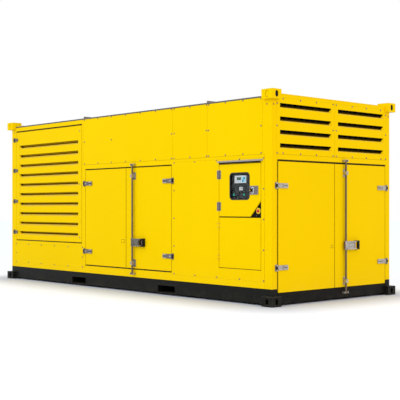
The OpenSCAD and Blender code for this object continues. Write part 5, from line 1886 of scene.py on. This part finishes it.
# %% Welds of the corner castings
def casting_welds(name, material, up):
    """Weld beads where each casting meets its post; up is 1 if the post stands on it."""
    drawn = bmesh.new()
    at = facing_up(0, 0, 0)
    for low, high in solids(name):
        z = (high.z if up > 0 else low.z) / MM
        sx, sy = (1 if low.x > 0 else -1), (1 if low.y > 0 else -1)
        x, y = sx * HALF_X / MM, sy * HALF_Y / MM
        inner_x = (low.x if sx > 0 else high.x) / MM + sx * 4
        inner_y = (low.y if sy > 0 else high.y) / MM + sy * 4
        bead(drawn, at, (inner_x, y, z), (x, y, z), 4.5)
        bead(drawn, at, (x, inner_y, z), (x, y, z), 4.5)
    finish_piece(name + "_welds", drawn, material)
    print(name, "welded")


casting_welds("castings_top", frame_paint, -1)
casting_welds("castings_bottom", base_paint, 1)

# %% [markdown]
# Near its top each post has a small round plug on both faces and one more bolt on its end. The
# plugs are turned like the bolts, with a dished middle that catches a little shadow.

# %% Post plugs
PLUG_X, PLUG_Y, PLUG_SIDE_Z, PLUG_END_Z, POST_BOLT_Z = 2.888, 1.133, 2.418, 2.412, 2.4265
shape = bmesh.new()
for sx, end_wall in ((-1, on_far_end), (1, on_end)):
    for sy, long_wall in ((-1, on_service), (1, on_rear)):
        for at in (long_wall(sx * PLUG_X, PLUG_SIDE_Z), end_wall(sy * PLUG_Y, PLUG_END_Z)):
            lathe(shape, at, [(10, 0), (9, 2.0), (6, 2.6), (4, 1.0), (0, 1.0)], steps=16)
        flange_bolt(shape, end_wall(sy * POST_BOLT, POST_BOLT_Z))
finish_piece("post_plugs", shape, bolt_steel)
print("plugs at", PLUG_SIDE_Z, "m")

# %% [markdown]
# The roof sheets are screwed down along their edges, stiffened with pressed cross ribs and
# joined under cover strips. None of this shows from the ground, but it does from a crane hook.
# A rib is pressed out of the sheet with sloping flanks, so it is drawn from a wide outline at
# its foot to a narrower one at its crest.

# %% Roof screws and ribs
SHEET_T, SCREW_STEP, RIB_STEP = 0.03, 300, 420
sheets = solids("roof_sheets")


def shares(low, high, count):
    """Middles of equal shares between two places."""
    return [low + (i + 0.5) * (high - low) / count for i in range(count)]


screws, ribs = bmesh.new(), bmesh.new()
for low, high in sheets:
    length, wide = (high.x - low.x) / MM, (high.y - low.y) / MM
    level = low.z + 18 * MM
    for x in shares(low.x, high.x, max(4, round(length / SCREW_STEP))):
        for y in (low.y + 22 * MM, high.y - 22 * MM):
            flange_bolt(screws, facing_up(x, y, level), across=10, flange=9, height=5)
    if high.z - low.z < SHEET_T:
        for x in shares(low.x, high.x, max(2, round(length / RIB_STEP))):
            raised(ribs, facing_up(x, 0, level), oblong(70, wide - 320, 30),
                   oblong(44, wide - 346, 20), -0.5, 9, smooth=True)
finish_piece("roof_screws", screws, bolt_steel)
finish_piece("roof_ribs", ribs, roof_sheet)
print(len(sheets), "roof sheets and cover strips")

# %% [markdown]
# The long edges of the roof are bent down and have dulled darker, and a folded cap lies on each
# end header. A thin strip over the sheet's edge gives the dark line without a new CAD part.

# %% Roof edges and header caps
roof_dark = make_plated("roof edge", (104, 100, 98), (72, 68, 66), 60.0, 0.2, 0.4, 0.6)
shape = bmesh.new()
for wall, start in ((on_service, -ROOF_EDGE_X), (on_rear, ROOF_EDGE_X)):
    prism(shape, wall(start, wall_top), slab(2, 4.5, 2 * ROOF_EDGE_X / MM - 2, 17.5), 0, 0.6)
finish_piece("roof_edges", shape, roof_dark)
shape = bmesh.new()
for low, high in solids("end_headers"):
    x0, x1 = (low.x / MM + 2, high.x / MM) if high.x > 0 else (low.x / MM, high.x / MM - 2)
    prism(shape, facing_up(0, 0, high.z), slab(x0, low.y / MM + 1, x1, high.y / MM - 1), 0, 12)
finish_piece("header_caps", shape, frame_paint, edge=1.5)
print("roof edge", round(2 * ROOF_EDGE_X, 3), "m long")

# %% [markdown]
# Under the floor, cross members tie the two base rails together. They are channels, and one
# drawn section run from rail to rail gives their flanges too, which a plain bar would lack.

# %% Cross members
MEMBERS, MEMBER_PITCH, FLANGE, WEB = 11, 520, 45, 5
rail_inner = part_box("base_rails")[1].y - 96 * MM
v0, v1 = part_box("fork_pockets")[1].z / MM + 1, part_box("floor")[0].z / MM - 0.5
shape = bmesh.new()
at = stand((0, -rail_inner, 0), (-1, 0, 0), (0, 1, 0))
for i in range(MEMBERS):
    u = (i - (MEMBERS - 1) / 2) * MEMBER_PITCH
    section = [(u, v0), (u + FLANGE, v0), (u + FLANGE, v0 + WEB), (u + WEB, v0 + WEB),
               (u + WEB, v1 - WEB), (u + FLANGE, v1 - WEB), (u + FLANGE, v1), (u, v1)]
    prism(shape, at, section, 0.5, 2 * rail_inner / MM - 0.5)
finish_piece("cross_members", shape, base_paint, edge=1.0)
print(MEMBERS, "cross members")

# %% [markdown]
# Each fork pocket is a tube through the base with a welded rim on both sides and a wear plate
# on its floor, where the forks of a truck slide in. The rim could be bevelled out of the rail,
# but a flat frame laid on it gives the edge of a welded one.

# %% Fork pockets
rims, floors = bmesh.new(), bmesh.new()
reach = HALF_Y / MM - 3
for low, high in solids("fork_pockets"):
    middle, half = (low.x + high.x) / 2, (high.x - low.x) / 2 / MM
    v_low, v_high = low.z / MM, high.z / MM
    for wall in (on_service, on_rear):
        rim(rims, wall(middle, 0), slab(-half - 12, v_low + 1, half + 12, v_high + 14),
            slab(-half + 6, v_low + 8, half - 6, v_high - 5), 0, 3)
    prism(floors, facing_up(middle, 0, low.z), slab(-half + 1, -reach, half - 1, reach), 0.5, 8)
finish_piece("pocket_rims", rims, base_paint, edge=0.8)
finish_piece("pocket_floors", floors, base_paint, edge=0.8)
print("fork pockets", round(2 * half), "mm wide")
